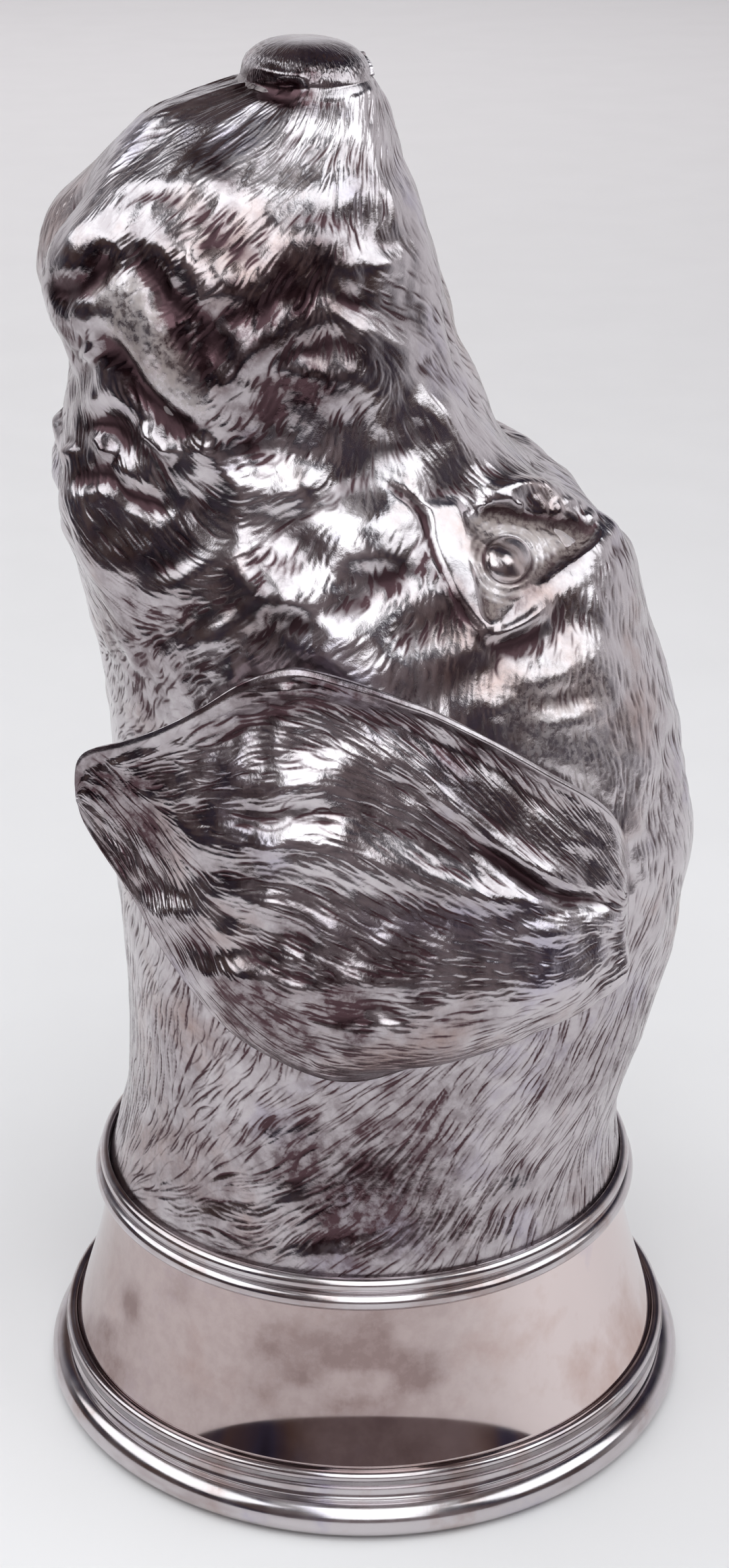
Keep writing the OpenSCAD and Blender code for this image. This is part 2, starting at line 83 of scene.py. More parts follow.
# %% The drawing sheet
SHEET_DEPTH = 320
TO_RIGHT = np.array((math.cos(LOOK_ROUND), math.sin(LOOK_ROUND), 0))
AHEAD = np.array((-math.sin(LOOK_ROUND) * math.cos(LOOK_DOWN),
                  math.cos(LOOK_ROUND) * math.cos(LOOK_DOWN), -math.sin(LOOK_DOWN)))
UPWARD = np.cross(TO_RIGHT, AHEAD)


def on_sheet(points):
    away = points - EYE
    scale = SHEET_DEPTH / (away @ AHEAD)
    return away @ TO_RIGHT * scale, away @ UPWARD * scale


print("the mouth's middle falls at", [round(float(v), 1) for v in on_sheet(np.zeros(3))])

# %% [markdown]
# ## Meshes from rings
# Every piece of this cup is a stack of rings: the head, the ears and the turned bands alike. One
# helper lays quads between rings and writes them with foreach_set, which is far quicker than a
# list of faces. If the enclosed volume comes out negative, the faces look inward and are turned
# round. It also unrolls the piece into a tidy UV map and keeps painted marks, one number for each
# point, that the silver will read later.

# %% The ring helper
POLE_BAND = 0.01


def ring_mesh(name, rings, looped=False, **marks):
    rows, around, _ = rings.shape
    points = rings.reshape(-1, 3)
    row = np.arange(rows if looped else rows - 1)[:, None]
    col = np.arange(around)[None, :]
    here, after = row * around, (row + 1) % rows * around
    turn = (col + 1) % around
    quads = np.stack(np.broadcast_arrays(here + col, here + turn, after + turn, after + col), -1)
    left, right = col / around, (col + 1) / around
    low, high = (POLE_BAND + (1 - 2 * POLE_BAND) * r / rows for r in (row, row + 1))
    corners = np.stack([np.stack(np.broadcast_arrays(u, v), -1) for u, v in
                        ((left, low), (right, low), (right, high), (left, high))], 2)
    loops, sizes, uv = quads.ravel(), np.full(quads.size // 4, 4), corners.reshape(-1, 2)
    if not looped:
        first, last = len(points), len(points) + 1
        points = np.vstack((points, rings[0].mean(0), rings[-1].mean(0)))
        col = col[0]
        bottom = np.stack((turn[0], col, np.full(around, first)), -1)
        top = (rows - 1) * around + np.stack((col, turn[0], np.full(around, 0)), -1)
        top[:, 2] = last
        loops = np.concatenate((loops, bottom.ravel(), top.ravel()))
        sizes = np.concatenate((sizes, np.full(2 * around, 3)))
        for edge, pole, order in ((POLE_BAND, 0.0, (1, 0)), (1 - POLE_BAND, 1.0, (0, 1))):
            fan = np.stack(((col + order[0]) / around, np.full(around, edge),
                            (col + order[1]) / around, np.full(around, edge),
                            (col + 0.5) / around, np.full(around, pole)), -1)
            uv = np.vstack((uv, fan.reshape(-1, 2)))
    corner = points[quads.reshape(-1, 4)] - points.mean(0)
    volume = sum((np.cross(corner[:, 0], corner[:, k]) * corner[:, k + 1]).sum() for k in (1, 2))
    if volume < 0:
        loops, sizes, uv = loops[::-1], sizes[::-1], uv[::-1]
    mesh = bpy.data.meshes.new(name)
    mesh.vertices.add(len(points))
    mesh.vertices.foreach_set("co", (points * MM).astype(np.float32).ravel())
    mesh.loops.add(len(loops))
    mesh.loops.foreach_set("vertex_index", loops.astype(np.int32))
    mesh.polygons.add(len(sizes))
    mesh.polygons.foreach_set("loop_start", (np.cumsum(sizes) - sizes).astype(np.int32))
    mesh.uv_layers.new(name="OFBake").data.foreach_set("uv", uv.astype(np.float32).ravel())
    for mark, values in marks.items():
        values = np.asarray(values, np.float32)
        if not looped:
            values = np.concatenate((values.ravel(), (values[0].mean(), values[-1].mean())))
        mesh.attributes.new(mark, "FLOAT", "POINT").data.foreach_set("value", values.ravel())
    mesh.update(calc_edges=True)
    mesh.shade_smooth()
    piece = bpy.data.objects.new(name, mesh)
    bpy.context.collection.objects.link(piece)
    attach(piece, "root")
    print(name, len(points), "points")
    return piece


# %% [markdown]
# ## The outlines of the head
# The CAD head is lofted through a few outlines: how far the crown, the throat and the cheeks
# stand from the cup's axis at each height above the neck seam. The same outlines are repeated
# here, so that the fine skin lies exactly over the CAD solid. A smooth curve through the points
# is a Hermite spline whose slopes are taken from the neighbours.

# %% Outlines
CROWN = ((0, 29.2), (9, 28.8), (19, 31.6), (31, 34.4), (43, 35.2), (55, 33.2), (65, 29.8),
         (73, 26.4), (79, 19), (85, 13.6), (93, 10), (101, 7.6), (108, 5.6), (114, 3.2),
         (118, 1.8), (120.5, 0.4))
THROAT = ((0, 29.2), (9, 26.8), (19, 26.2), (31, 26.6), (43, 27), (55, 26.8), (65, 28.2),
          (73, 30), (79, 31), (85, 30.5), (93, 30), (101, 31.4), (104.5, 30.6), (108, 28.8),
          (111.5, 27), (114, 25), (116, 22.8), (117.8, 20.2), (119, 17.2),
          (120, 14), (120.5, 12.2))
SIDE = ((0, 29.2), (9, 27.4), (19, 27), (31, 28), (43, 28.5), (55, 28.2), (65, 27), (73, 25),
        (79, 22.4), (85, 20.5), (93, 19.3), (101, 18.8), (108, 17.2), (112, 15.2), (114, 13.8),
        (116, 12.4), (118, 10.8), (119.5, 9.4), (120.5, 8.6))
WIDEST = ((0, 0), (9, 0.5), (19, 2), (31, 3.5), (43, 4), (55, 2.5), (65, 0), (73, -3),
          (79, -7), (85, -10), (93, -13), (101, -15), (108, -14), (114, -11), (118, -8),
          (120.5, -6.5))


def curve(table, x):
    xs, ys = np.array(table, float).T
    slope = np.empty_like(ys)
    slope[1:-1] = (ys[2:] - ys[:-2]) / (xs[2:] - xs[:-2])
    slope[0] = (ys[1] - ys[0]) / (xs[1] - xs[0])
    slope[-1] = (ys[-1] - ys[-2]) / (xs[-1] - xs[-2])
    x = np.clip(x, xs[0], xs[-1])
    i = np.clip(np.searchsorted(xs, x) - 1, 0, len(xs) - 2)
    span = xs[i + 1] - xs[i]
    t = (x - xs[i]) / span
    return ((1 + 2 * t) * (1 - t) ** 2 * ys[i] + t * (1 - t) ** 2 * span * slope[i]
            + t * t * (3 - 2 * t) * ys[i + 1] + t * t * (t - 1) * span * slope[i + 1])


def ease(x, start, end):
    t = np.clip((x - start) / (end - start), 0, 1)
    return t * t * (3 - 2 * t)


print("crown at the brow:", round(float(curve(CROWN, 73)), 1), "mm from the axis")

# %% [markdown]
# A point of the skin is named by its angle, 0 at the crown and 180 at the throat, and its height
# above the seam. Broad swellings of the casting, such as the brow, the eye socket and the hanging
# lip, are the same rounded bumps as in the CAD. The last few millimetres close over the nose.

# %% The cast form
NOSE_TOP, NOSE_X, DOME_SPAN, DOME_HEIGHT, DOME_FULL = 120.5, -6, 6, 3.5, 0.75
FULLNESS = 0.92
SWELLINGS = ((0, 62, 8, 14, -1), (24, 77, 15, 5, 2.2), (55, 77, 13, 5, -2.4), (57, 77, 6, 3, 2.4),
             (92, 66, 20, 8, 1), (105, 100, 22, 8, 1.2), (156, 104, 18, 7, 1.4),
             (170, 91, 12, 4, -0.6), (156, 80, 18, 6, 2), (108, 119, 12, 2.5, -1))


def cast_form(angle, height, lift=0.0):
    h = np.clip(height, 0, NOSE_TOP)
    dome = np.radians(90 * np.clip((height - NOSE_TOP) / DOME_SPAN, 0, 1))
    full = 1 + (FULLNESS - 1) * ease(h, 3, 17)
    cos, sin = np.cos(np.radians(angle)), np.sin(np.radians(angle))
    cos = np.sign(cos) * np.abs(cos) ** full
    sin = np.sign(sin) * np.abs(sin) ** full
    mirrored = np.where(angle > 180, 360 - angle, angle)
    out = lift + 0 * angle * height
    for at, up, wide, tall, rise in SWELLINGS:
        out = out + rise * np.exp(-((mirrored - at) / wide) ** 2 - ((height - up) / tall) ** 2)
    middle = curve(WIDEST, h)
    reach = np.where(cos > 0, curve(CROWN, h) - middle, middle + curve(THROAT, h))
    shrink = np.clip(np.cos(dome), 0, 1) ** DOME_FULL
    x = NOSE_X + (middle + (reach + out) * cos - NOSE_X) * shrink
    y = -(curve(SIDE, h) + out) * sin * shrink
    z = SEAM_Z + np.minimum(height, h) + DOME_HEIGHT * np.sin(dome) ** 0.9
    return np.stack(np.broadcast_arrays(x, y, z), -1)


print("nose tip at", round(float(cast_form(0.0, NOSE_TOP + DOME_SPAN)[2]), 1), "mm")

# %% [markdown]
# The skin of the head is a fine net of about a sixth of a millimetre, so that each stroke of the
# chaser is real metal and not only shading. Its outward direction at every point comes from the
# two neighbouring edges. Only half of the face is drawn and the other half mirrors it.

# %% The fine net
FINE = 1.0
AROUND = int(1120 * FINE) // 4 * 4
ROWS = int(860 * FINE)
SHOULDER = -0.5
angles = np.arange(AROUND) * 360 / AROUND
heights = np.concatenate((np.linspace(SHOULDER, NOSE_TOP, ROWS)[:-1],
                          np.linspace(NOSE_TOP, NOSE_TOP + DOME_SPAN - 0.1, int(70 * FINE))))
skin = cast_form(angles[None, :], heights[:, None])


def outward(rings):
    round_it = np.roll(rings, -1, 1) - np.roll(rings, 1, 1)
    up_it = np.gradient(rings, axis=0)
    normal = np.cross(round_it, up_it)
    return normal / np.maximum(np.linalg.norm(normal, axis=-1, keepdims=True), 1e-9)


normals = outward(skin)
if (normals * (skin - np.array((0, 0, 90)))).sum(-1).mean() < 0:
    normals = -normals
print("skin net", skin.shape[:2])

# %% [markdown]
# ## Drawing on metal
# A skin to be chased is held as a drawing: where each of its points falls on the sheet, how
# squarely it faces the camera, and five maps. These are the relief in millimetres, how bare of
# hair it is, how far facets have planed it, how dark its film is, which holds tarnish and painted
# shade, and how matte it is.
# A line presses a groove or raises a ridge along a path, a lump swells or sinks an oval, and a
# facet tilts an oval patch of metal. Facets matter most on silver, because a small tilt decides
# whether a patch mirrors a lamp or the dark room.

# %% Drawing tools
CURVE_PARTS, OVAL_REACH = 6, 2.6
FACET_SPREAD, FACET_POLISH = 1.5, 0.5
STAIN_FADE = 0.25


def at_least(layer, near, values):
    layer[near] = np.maximum(layer[near], values)


class Drawing:
    def __init__(self, points, normals):
        self.x, self.y = on_sheet(points)
        toward = EYE - points
        toward = toward / np.linalg.norm(toward, axis=-1, keepdims=True)
        self.facing = ease((normals * toward).sum(-1), 0.0, 0.25)
        self.relief, self.bare, self.planed, self.film, self.matte = np.zeros((5, *self.x.shape))

    def beside(self, path, margin, closed=False):
        path = np.array(path, float)
        if closed:
            path = np.vstack((path, path[:1]))
        place = np.arange(len(path))
        fine = np.linspace(0, len(path) - 1, (len(path) - 1) * CURVE_PARTS + 1)
        path = np.stack([curve(np.stack((place, path[:, k]), -1), fine) for k in (0, 1)], -1)
        low, high = path.min(0) - margin, path.max(0) + margin
        near = ((self.x > low[0]) & (self.x < high[0]) & (self.y > low[1]) & (self.y < high[1])
                & (self.facing > 0))
        x, y = self.x[near], self.y[near]
        best, along, inside = np.full(x.shape, 1e9), np.zeros(x.shape), np.zeros(x.shape, bool)
        run, total = 0.0, np.linalg.norm(np.diff(path, axis=0), axis=1).sum()
        for (ax, ay), (bx, by) in zip(path[:-1], path[1:]):
            dx, dy = bx - ax, by - ay
            span = math.hypot(dx, dy) + 1e-9
            t = np.clip(((x - ax) * dx + (y - ay) * dy) / span ** 2, 0, 1)
            off = np.hypot(x - ax - t * dx, y - ay - t * dy)
            along = np.where(off < best, (run + t * span) / total, along)
            best = np.minimum(off, best)
            inside ^= ((ay > y) != (by > y)) & (x < ax + (y - ay) * dx / (dy or 1e-9))
            run += span
        if closed:
            return near, np.where(inside, -best, best)
        return near, best, along * total, total

    def stripe(self, path, half_width, taper=None):
        near, off, along, total = self.beside(path, 3 * half_width)
        fade = STAIN_FADE if taper is None else min(0.5, 0.5 * taper + half_width / total)
        ends = ease(np.minimum(along, total - along), 0, fade * total)
        return near, np.exp(-(off / half_width) ** 2) * self.facing[near] * ends

    def line(self, path, half_width, height, taper=0.5, polish=0.0):
        near, shape = self.stripe(path, half_width, taper)
        self.relief[near] += height * shape
        at_least(self.bare, near, polish * shape)

    # darkens the film along a path, for tarnish and for painted shade
    def stain_and_shade(self, path, half_width, depth):
        near, shape = self.stripe(path, half_width)
        at_least(self.film, near, depth * shape)

    def oval(self, x, y, long, wide, turn):
        cos, sin = math.cos(math.radians(turn)), math.sin(math.radians(turn))
        reach = OVAL_REACH * max(long, wide)
        near = (np.abs(self.x - x) < reach) & (np.abs(self.y - y) < reach) & (self.facing > 0)
        dx, dy = self.x[near] - x, self.y[near] - y
        u, v = (dx * cos + dy * sin) / long, (dy * cos - dx * sin) / wide
        return near, dx, dy, np.exp(-u * u - v * v) * self.facing[near]

    def lump(self, x, y, long, wide, turn, height, polish=0.0):
        near, _, _, shape = self.oval(x, y, long, wide, turn)
        self.relief[near] += height * shape
        at_least(self.bare, near, polish * shape)

    # darkens the film in an oval, for tarnish and for painted shade
    def tarnish_and_shade(self, x, y, long, wide, turn, depth):
        near, _, _, shape = self.oval(x, y, long, wide, turn)
        at_least(self.film, near, depth * shape)

    def facet(self, x, y, long, wide, turn, slope, aim=90):
        near, dx, dy, shape = self.oval(x, y, FACET_SPREAD * long, FACET_SPREAD * wide, turn)
        ahead = dx * math.cos(math.radians(aim)) + dy * math.sin(math.radians(aim))
        self.relief[near] -= slope * ahead * shape
        at_least(self.planed, near, shape)
        if slope > 0:
            at_least(self.bare, near, FACET_POLISH * shape)

    def area(self, outline, soft):
        near, depth = self.beside(outline, 3 * soft, closed=True)
        return near, ease(-depth, -soft, soft) * self.facing[near]

    def patch(self, outline, height, soft, polish=0.0):
        near, shape = self.area(outline, soft)
        self.relief[near] += height * shape
        at_least(self.bare, near, polish * shape)

    def dull(self, outline, depth, soft):
        near, shape = self.area(outline, soft)
        at_least(self.matte, near, depth * shape)

    def comb(self, combed, reach):
        twice = np.zeros(self.x.shape, complex)
        for x, y, lie in combed:
            near = (self.x - x) ** 2 + (self.y - y) ** 2
            twice += (1e-5 + np.exp(-near / (2 * reach ** 2))) * np.exp(2j * math.radians(lie))
        return np.angle(twice) / 2


HALF = AROUND // 2 + 1
face = Drawing(skin[:, :HALF], normals[:, :HALF])
print("drawing on", face.relief.size, "points of the hound's left side")

# %% [markdown]
# ## The eye
# The eye looks out of a three-cornered opening: a broad smooth lower lid on the left, a folded
# one on the right, and a shaggy brow hanging over the top. The opening is sunk first, the ball is
# set into it as a dome, and rings and the pupil are punched into the ball last.

# %% Eye
EYE_AT = (17.0, 26.6)
BALL_R, IRIS_R, PUPIL_R, RING_WIDTH = 7.6, 2.9, 1.3, 0.35
BALL_RISE, BALL_SET, IRIS_RISE, PUPIL_RISE, EYE_DEPTH = 1.5, 0.55, 0.4, 0.12, 0.45
EYE_RINGS = ((IRIS_R, 0.22), (3.8, 0.16), (4.6, 0.16), (5.4, 0.12))
OPENING = ((12.4, 31.6), (12.5, 27.5), (13.4, 23.6), (15.0, 19.6), (18.4, 22.4), (22.6, 25.8),
           (27.0, 29.2), (24.6, 30.9), (19.4, 31.4), (15.6, 32.4))
LOWER_LID = ((7.1, 33.2), (7.6, 29.8), (9.0, 25.2), (11.2, 21.2), (14.2, 17.8), (15.0, 19.2),
             (13.4, 21.4), (13.3, 24.8), (12.8, 27.4), (12.6, 30.8), (11.2, 33.9))
OUTER_LID = ((14.6, 17.0), (18.8, 18.6), (22.6, 21.4), (26.2, 24.4), (28.6, 28.0), (27.0, 29.6),
             (22.6, 25.6), (18.2, 21.6), (15.2, 19.4))
face.patch(LOWER_LID, 0.32, 1.2, 1)
face.patch(OUTER_LID, 0.25, 1.2, 0.35)
near, depth = face.beside(OPENING, 3, closed=True)
sunk = ease(-depth, -0.9, 0.9)
from_eye = np.hypot(face.x[near] - EYE_AT[0], face.y[near] - EYE_AT[1])


def dome_of(radius):
    return np.clip(1 - (from_eye / radius) ** 2, 0, 1)


ball = BALL_RISE * (np.sqrt(dome_of(BALL_R)) - BALL_SET) + IRIS_RISE * dome_of(IRIS_R)
for radius, cut in EYE_RINGS:
    ball -= cut * np.exp(-((from_eye - radius) / RING_WIDTH) ** 2)
ball += PUPIL_RISE * dome_of(PUPIL_R)
face.relief[near] += sunk * (ball - EYE_DEPTH)
face.dull(OPENING, 1.0, 0.8)
face.matte[near] *= 1 - 0.8 * ease(-from_eye, -3.4, -2.6)
at_least(face.bare, near, ease(-depth, -1.0, 0))
print("eye opening sunk at", int((sunk > 0.5).sum()), "points")

# %% [markdown]
# Tufts of the brow hang over the opening, each a short bent ridge that leans by its own angle.
# Folds run round the lids. A dark stain along the top edge of the opening is painted shadow under
# the brow, and a second stain runs along its lower right edge. Each fold is a path, its half width,
# its height, its taper and its polish.

# %% Brow and folds of the eye
TUFTS = ((13.2, 33.6, -62, 2), (15.6, 34, -40, 3.6), (17.4, 33.4, -68, 2.4), (18.8, 33.8, -36, 4),
         (21.6, 33, -50, 2.4), (22.6, 33.2, -24, 3.8), (25.4, 31.8, -44, 2.2))
for x, y, lean, long in TUFTS:
    over, down = long * math.cos(math.radians(lean)), long * math.sin(math.radians(lean))
    bend = (x + 0.5 * over + 0.3, y + 0.5 * down + 0.2)
    face.line(((x, y), bend, (x + over, y + down)), 0.4, 0.3, 0.5)
EYE_FOLDS = (
    (((7, 33.4), (7.5, 29.8), (8.9, 25.1), (11.1, 21), (14.2, 17.4)), 0.4, -0.25, 0.3),
    (((22.2, 30), (24, 28.4), (25, 27.2)), 0.4, 0.3, 0.4, 1),
    (((13.8, 17), (18.6, 18.8), (23, 22)), 1, 0.5, 0.5, 0.9),
    (((12.2, 13.8), (18.2, 15.6), (25, 19.6), (28.6, 22.4)), 2.2, -0.6, 0.5),
    (((12.6, 33.8), (17.8, 34.8), (22.4, 34.2), (26.5, 32.8), (29, 30.6), (28.8, 26.6)),
     1.2, 1, 0.4),
    (((12.8, 32.6), (15.8, 32), (19.4, 31.4), (22.6, 31), (26.4, 30.8)), 0.8, -0.4, 0.3),
    (((2.4, 36.2), (6.6, 32.6), (7.4, 29)), 0.6, -0.4, 0.5))
for fold in EYE_FOLDS:
    face.line(*fold)
# painted shadow under the brow, along the top edge of the opening
face.stain_and_shade(((12.6, 31.6), (16, 31.8), (19.4, 31.2), (23, 30.6), (26.6, 29.6)), 1.3, 0.8)
face.stain_and_shade(((15.2, 19), (18.4, 21.4), (22.6, 25), (27, 28.6)), 1.0, 0.6)
print(len(TUFTS), "tufts and", len(EYE_FOLDS), "folds")

# %% [markdown]
# ## Nose and lips
# The nose is a pebbled pad with a wedge of nostril under its smooth rim. Below it hang the upper
# lips, whose margin is undercut, and a smooth band of lip runs down in a V to the corner of the
# mouth. The lower lip lies in short folds behind the long furrow of the mouth.

# %% Nose
PAD = ((-14.2, 85.6), (-14.0, 83.0), (-11.6, 81.2), (-7.4, 81.4), (-2.6, 81.2), (0.4, 82.6),
       (1.2, 86.0), (-0.6, 90.0), (-8.0, 92.0), (-13.6, 88.6))
near, depth = face.beside(PAD, 3, closed=True)
at_least(face.bare, near, ease(-depth, -0.6, 0.3))
face.line(((-14, 83.4), (-12, 82.4), (-9.4, 81.8), (-6.4, 82)), 0.8, -0.5, 0.6)
face.line(((-14, 85.2), (-11.6, 84.6), (-8.8, 84), (-6, 84)), 0.6, 0.3, 0.4, 1)
face.lump(0.2, 82.2, 2.4, 1.6, 0, 0.5)
# painted dark reflection over the middle of the nose pad, kept off its two highlights
face.tarnish_and_shade(-6.0, 84.6, 7.0, 2.6, 0, 0.7)
# painted shade in the nostril under the rim of the pad
face.tarnish_and_shade(-10.6, 82.4, 4.8, 1.5, -18, 2.4)
print("nose pad raised")

# %% Lips and mouth
V_ARM = ((-19.6, 44.6), (-15.7, 48.7), (-12.4, 52.2), (-9.4, 54.9), (-7, 56.8))
LIP_FOLDS = (
    (((-39, 59.6), (-35.4, 58.6), (-32.4, 59.4), (-30.2, 61.8), (-28.4, 63.6)), 1.8, -1, 0.3),
    (((-28.8, 63.6), (-25.6, 61.6), (-24, 58.8), (-22, 56.6), (-19.4, 55.8), (-17.2, 57.4)),
     1.8, -0.8, 0.5),
    (((-25.4, 61.4), (-23, 54.4), (-20.6, 48.6)), 1.8, -0.7, 0.5),
    (V_ARM, 1.8, 0.5, 0.3, 0.4),
    (((-32.8, 55.6), (-30.8, 52.2), (-28.8, 49.4), (-26.6, 46.2), (-24, 43.6), (-21, 41.6),
      (-17.6, 41.4)), 1.5, -1.4, 0.4),
    (((-36.8, 37.2), (-35.2, 39.2), (-33.6, 40.1)), 0.9, 0.9, 0.4, 0.7),
    (((-32.4, 42.4), (-31.2, 40.6), (-29.8, 38)), 1, 0.8, 0.4, 0.7),
    (((-27.4, 42.4), (-25, 40.8), (-22.2, 38)), 1, 0.7, 0.4, 0.7),
    (((-34.6, 43.2), (-30.2, 43), (-27.2, 44.2)), 1.8, -0.5, 0.6),
    (((-36.2, 34.8), (-31.2, 36.6), (-27.2, 34), (-22, 31.6)), 1.4, -0.8, 0.4))
for path, width, height, *finish in LIP_FOLDS:
    face.line(path, width, height, *finish)
    # sunken folds are stained dark as well, the deeper the darker: painted shade in the furrows of
    # the lips
    if height < 0:
        face.stain_and_shade(path, 1.3 * width, 0.6 - 0.25 * height)
LIP = ((-32.4, 58.6), (-29, 60.4), (-26.4, 59.4), (-24.4, 54.6), (-21.8, 49.4), (-18.8, 45.2),
       (-20.6, 43.6), (-24.6, 45.4), (-28, 50.4), (-30.6, 54.4))
near, depth = face.beside(LIP, 4, closed=True)
smooth = ease(-depth, -1.6, 1.2)
at_least(face.bare, near, 0.6 * smooth)
face.relief[near] += 0.4 * ease(-depth, -1.8, 1.8)
face.dull(LIP, 0.75, 1.6)
at_least(face.film, near, 0.2 * smooth)
LIP_LUMPS = ((-33.6, 64.4, 5, 3.6, 20, 1), (-21.8, 62.4, 4.2, 3.4, -40, 0.9),
             (-18.6, 52.4, 2.8, 4.2, -10, -0.9), (-32.6, 51.2, 1, 0.8, 60, 0.6, 0.6),
             (-31.2, 45.6, 3.2, 2.2, 60, 0.8, 0.4))
for lump in LIP_LUMPS:
    face.lump(*lump)


def say_relief(name, drawing):
    low, high = float(drawing.relief.min()), float(drawing.relief.max())
    print(name, "relief from", round(low, 2), "to", round(high, 2), "mm")


say_relief("face", face)

# %% [markdown]
# Folds and muscles come next: long soft valleys on the cheek, and facets for the patches that
# catch the light or turn to the dark. Each facet is a place on the sheet, its two radii, its
# turn, its slope, and the way it leans, which is up unless it is given. Dark film is laid on in
# ovals too: tarnish, and painted shade where the ovals sit under the nose, along the flews, round
# the mouth and in the creases of the eye. The metal is left matte beside the brow and under the
# nose.

# %% Folds and facets of the face
face.line(((-14.8, 50.4), (-11.6, 48.2), (-11.2, 43.6), (-12.4, 37.3), (-13.2, 32.6)),
          3.0, -0.8, 0.8)
face.line(((-24, 36.8), (-19, 33), (-17.6, 27.6)), 2.6, -0.6, 0.8)
FACE_FACETS = (
    (-2.5, 78, 4.4, 2, -10, 0.05), (-2.5, 76, 2.4, 1.6, 0, -0.1), (-6, 71, 4, 3.4, -20, 0.15),
    (-8.5, 65.5, 2, 1.4, 20, 0.22, 100), (-4.5, 65.5, 1.6, 1.2, 0, 0.22),
    (5.5, 67.5, 4.8, 1.4, 110, 0.2, 60), (-25.5, 73, 3.6, 2.6, 40, 0.12, 110),
    (-24, 70, 1.8, 0.8, 0, -0.3), (-33, 66.5, 4.8, 3, 60, 0.15, 140), (-19, 69, 2.2, 3, 70, -0.25),
    (-14, 65.5, 3, 2.6, 50, -0.25), (1.5, 68, 2.2, 3.6, 100, -0.25, 60),
    (3, 59, 3, 2.6, 100, -0.2), (-0.5, 55.5, 2.6, 1.4, -30, 0.35, 100),
    (5, 52.5, 2.2, 1.4, -40, 0.25, 80), (-7, 50, 2.2, 1.4, 0, 0.38),
    (-18, 63, 1.4, 1, 40, 0.35, 110), (2.5, 62.5, 1.4, 1.2, 0, 0.3),
    (-8.5, 59.5, 4, 2.6, 30, -0.2), (-16, 56.5, 2.6, 1.8, 40, -0.2), (-4, 54, 1.8, 1.8, 0, -0.25),
    (-7.5, 36.5, 2, 1.6, 40, 0.38), (-3, 32, 3.2, 2.6, 40, 0.32), (2, 34, 3.2, 3, 60, 0.3),
    (4.5, 38, 2.2, 1.6, -30, 0.3, 100), (-8, 24.5, 3.6, 2.2, 35, 0.35),
    (-1.5, 19.5, 3.2, 1.8, 30, 0.35), (24.5, 9, 3, 1.6, 10, 0.4, 100),
    (9.5, 46, 2.6, 2.2, -40, 0.28, 80), (14.5, 42, 3.2, 1.2, 125, 0.2, 60),
    (0.5, 25.5, 3.6, 1.4, 10, -0.3), (8.5, 21, 2.2, 3.6, 120, -0.25),
    (-10.5, 33, 2.2, 3.6, 80, -0.2), (-29.5, 33.5, 4, 2.6, 20, -0.25),
    (-11.5, 20.5, 1.8, 2.6, 60, -0.25), (9.5, 12.5, 3.6, 2.2, 30, -0.15),
    (18, 13, 1.8, 3.2, 70, -0.15), (-1.5, 45, 3.6, 2.2, 30, -0.25), (11, 37.5, 2.2, 2.2, 0, -0.2),
    (23, 14, 2.6, 1.4, 40, 0.3), (-18, 27.5, 2.2, 1.4, 30, 0.2),
    (-22.5, 25, 2.2, 1.2, 20, 0.25, 100), (-16, 19.5, 3, 1.4, 40, 0.2, 100),
    (-23, 20.5, 2.6, 1.8, 40, -0.2), (-19.5, 15, 3, 1.4, 40, -0.15),
    (29.5, 16.5, 1.8, 3.2, 90, 0.15, 60), (34, 7.5, 1.4, 3.6, 90, -0.15, 60),
    (-26, -45, 1, 2.2, 75, -0.2), (-7, -39, 3, 1, 10, -0.15), (-8, -41, 2.6, 1, 10, 0.15),
    (-16, -50, 4, 1.2, 5, 0.15), (-4.5, -55, 4, 1.2, 15, 0.3), (18.5, -47, 1.8, 1, 40, 0.3),
    (2, -50.5, 3.2, 2.6, 60, -0.1), (-19.5, -30.5, 2.2, 3, 70, -0.12), (2, -47, 8, 6, 0, 0.14),
    (1.5, 33.5, 5.5, 4.5, 40, 0.16, 80), (-20, 74, 9, 4, 40, 0.1, 100),
    (13, 11, 5, 2.4, 30, 0.22, 95), (20, 5, 4.4, 1.8, -20, 0.2, 95))
for facet in FACE_FACETS:
    face.facet(*facet)
print(len(FACE_FACETS), "facets")

# %% Tarnish and painted shade of the face
# ovals of dark film: tarnish, and painted shade where they sit under the nose, along the flews,
# round the mouth and in the creases of the eye
FACE_TARNISH_AND_SHADE = (
    (-26.5, 52, 8, 3.4, 125, 0.45), (-30, 40, 9, 6, 150, 0.5), (-10, 58, 11, 7, 30, 0.75),
    (-2, -47, 13, 14, 0, 0.4), (21.5, 21.5, 7, 1.8, 38, 0.35), (10.4, 22, 7, 2.2, -52, 0.5),
    (17.5, 13.5, 8, 3, 25, 0.1), (-37, 50, 5, 9, 0, 0.75), (-19, 52, 4, 6, -10, 0.7),
    (-17.3, 72.6, 7, 2, -35, 0.5), (-9, 75.9, 2.4, 1.6, 0, 0.5), (-0.4, 72.4, 4, 2, 120, 0.5),
    (-15, 65, 6, 4, 40, 0.5), (-26.3, 63.3, 6, 3, 20, 0.5), (-34, 58, 5, 4, 0, 0.5),
    (-8, 46, 11, 5, 30, 0.8), (-28, 68, 9, 4, 50, 0.22), (-24, 28, 9, 6, 30, 0.45),
    (-12, 22, 7, 4, 50, 0.4), (4, 24, 5, 4, 40, 0.4), (-28, 18, 9, 11, 0, 0.55))
BROW_SIDE = ((16, 14), (24, 17), (31, 24), (34, 12), (34, -4), (24, -2), (16, 6))
UNDER_NOSE = ((-8, 82), (2, 82), (5, 73), (-5, 72))
face.dull(BROW_SIDE, 0.4, 4.0)
face.dull(UNDER_NOSE, 0.32, 4.0)
face.stain_and_shade(V_ARM, 2.4, 0.6)
for oval in FACE_TARNISH_AND_SHADE:
    face.tarnish_and_shade(*oval)
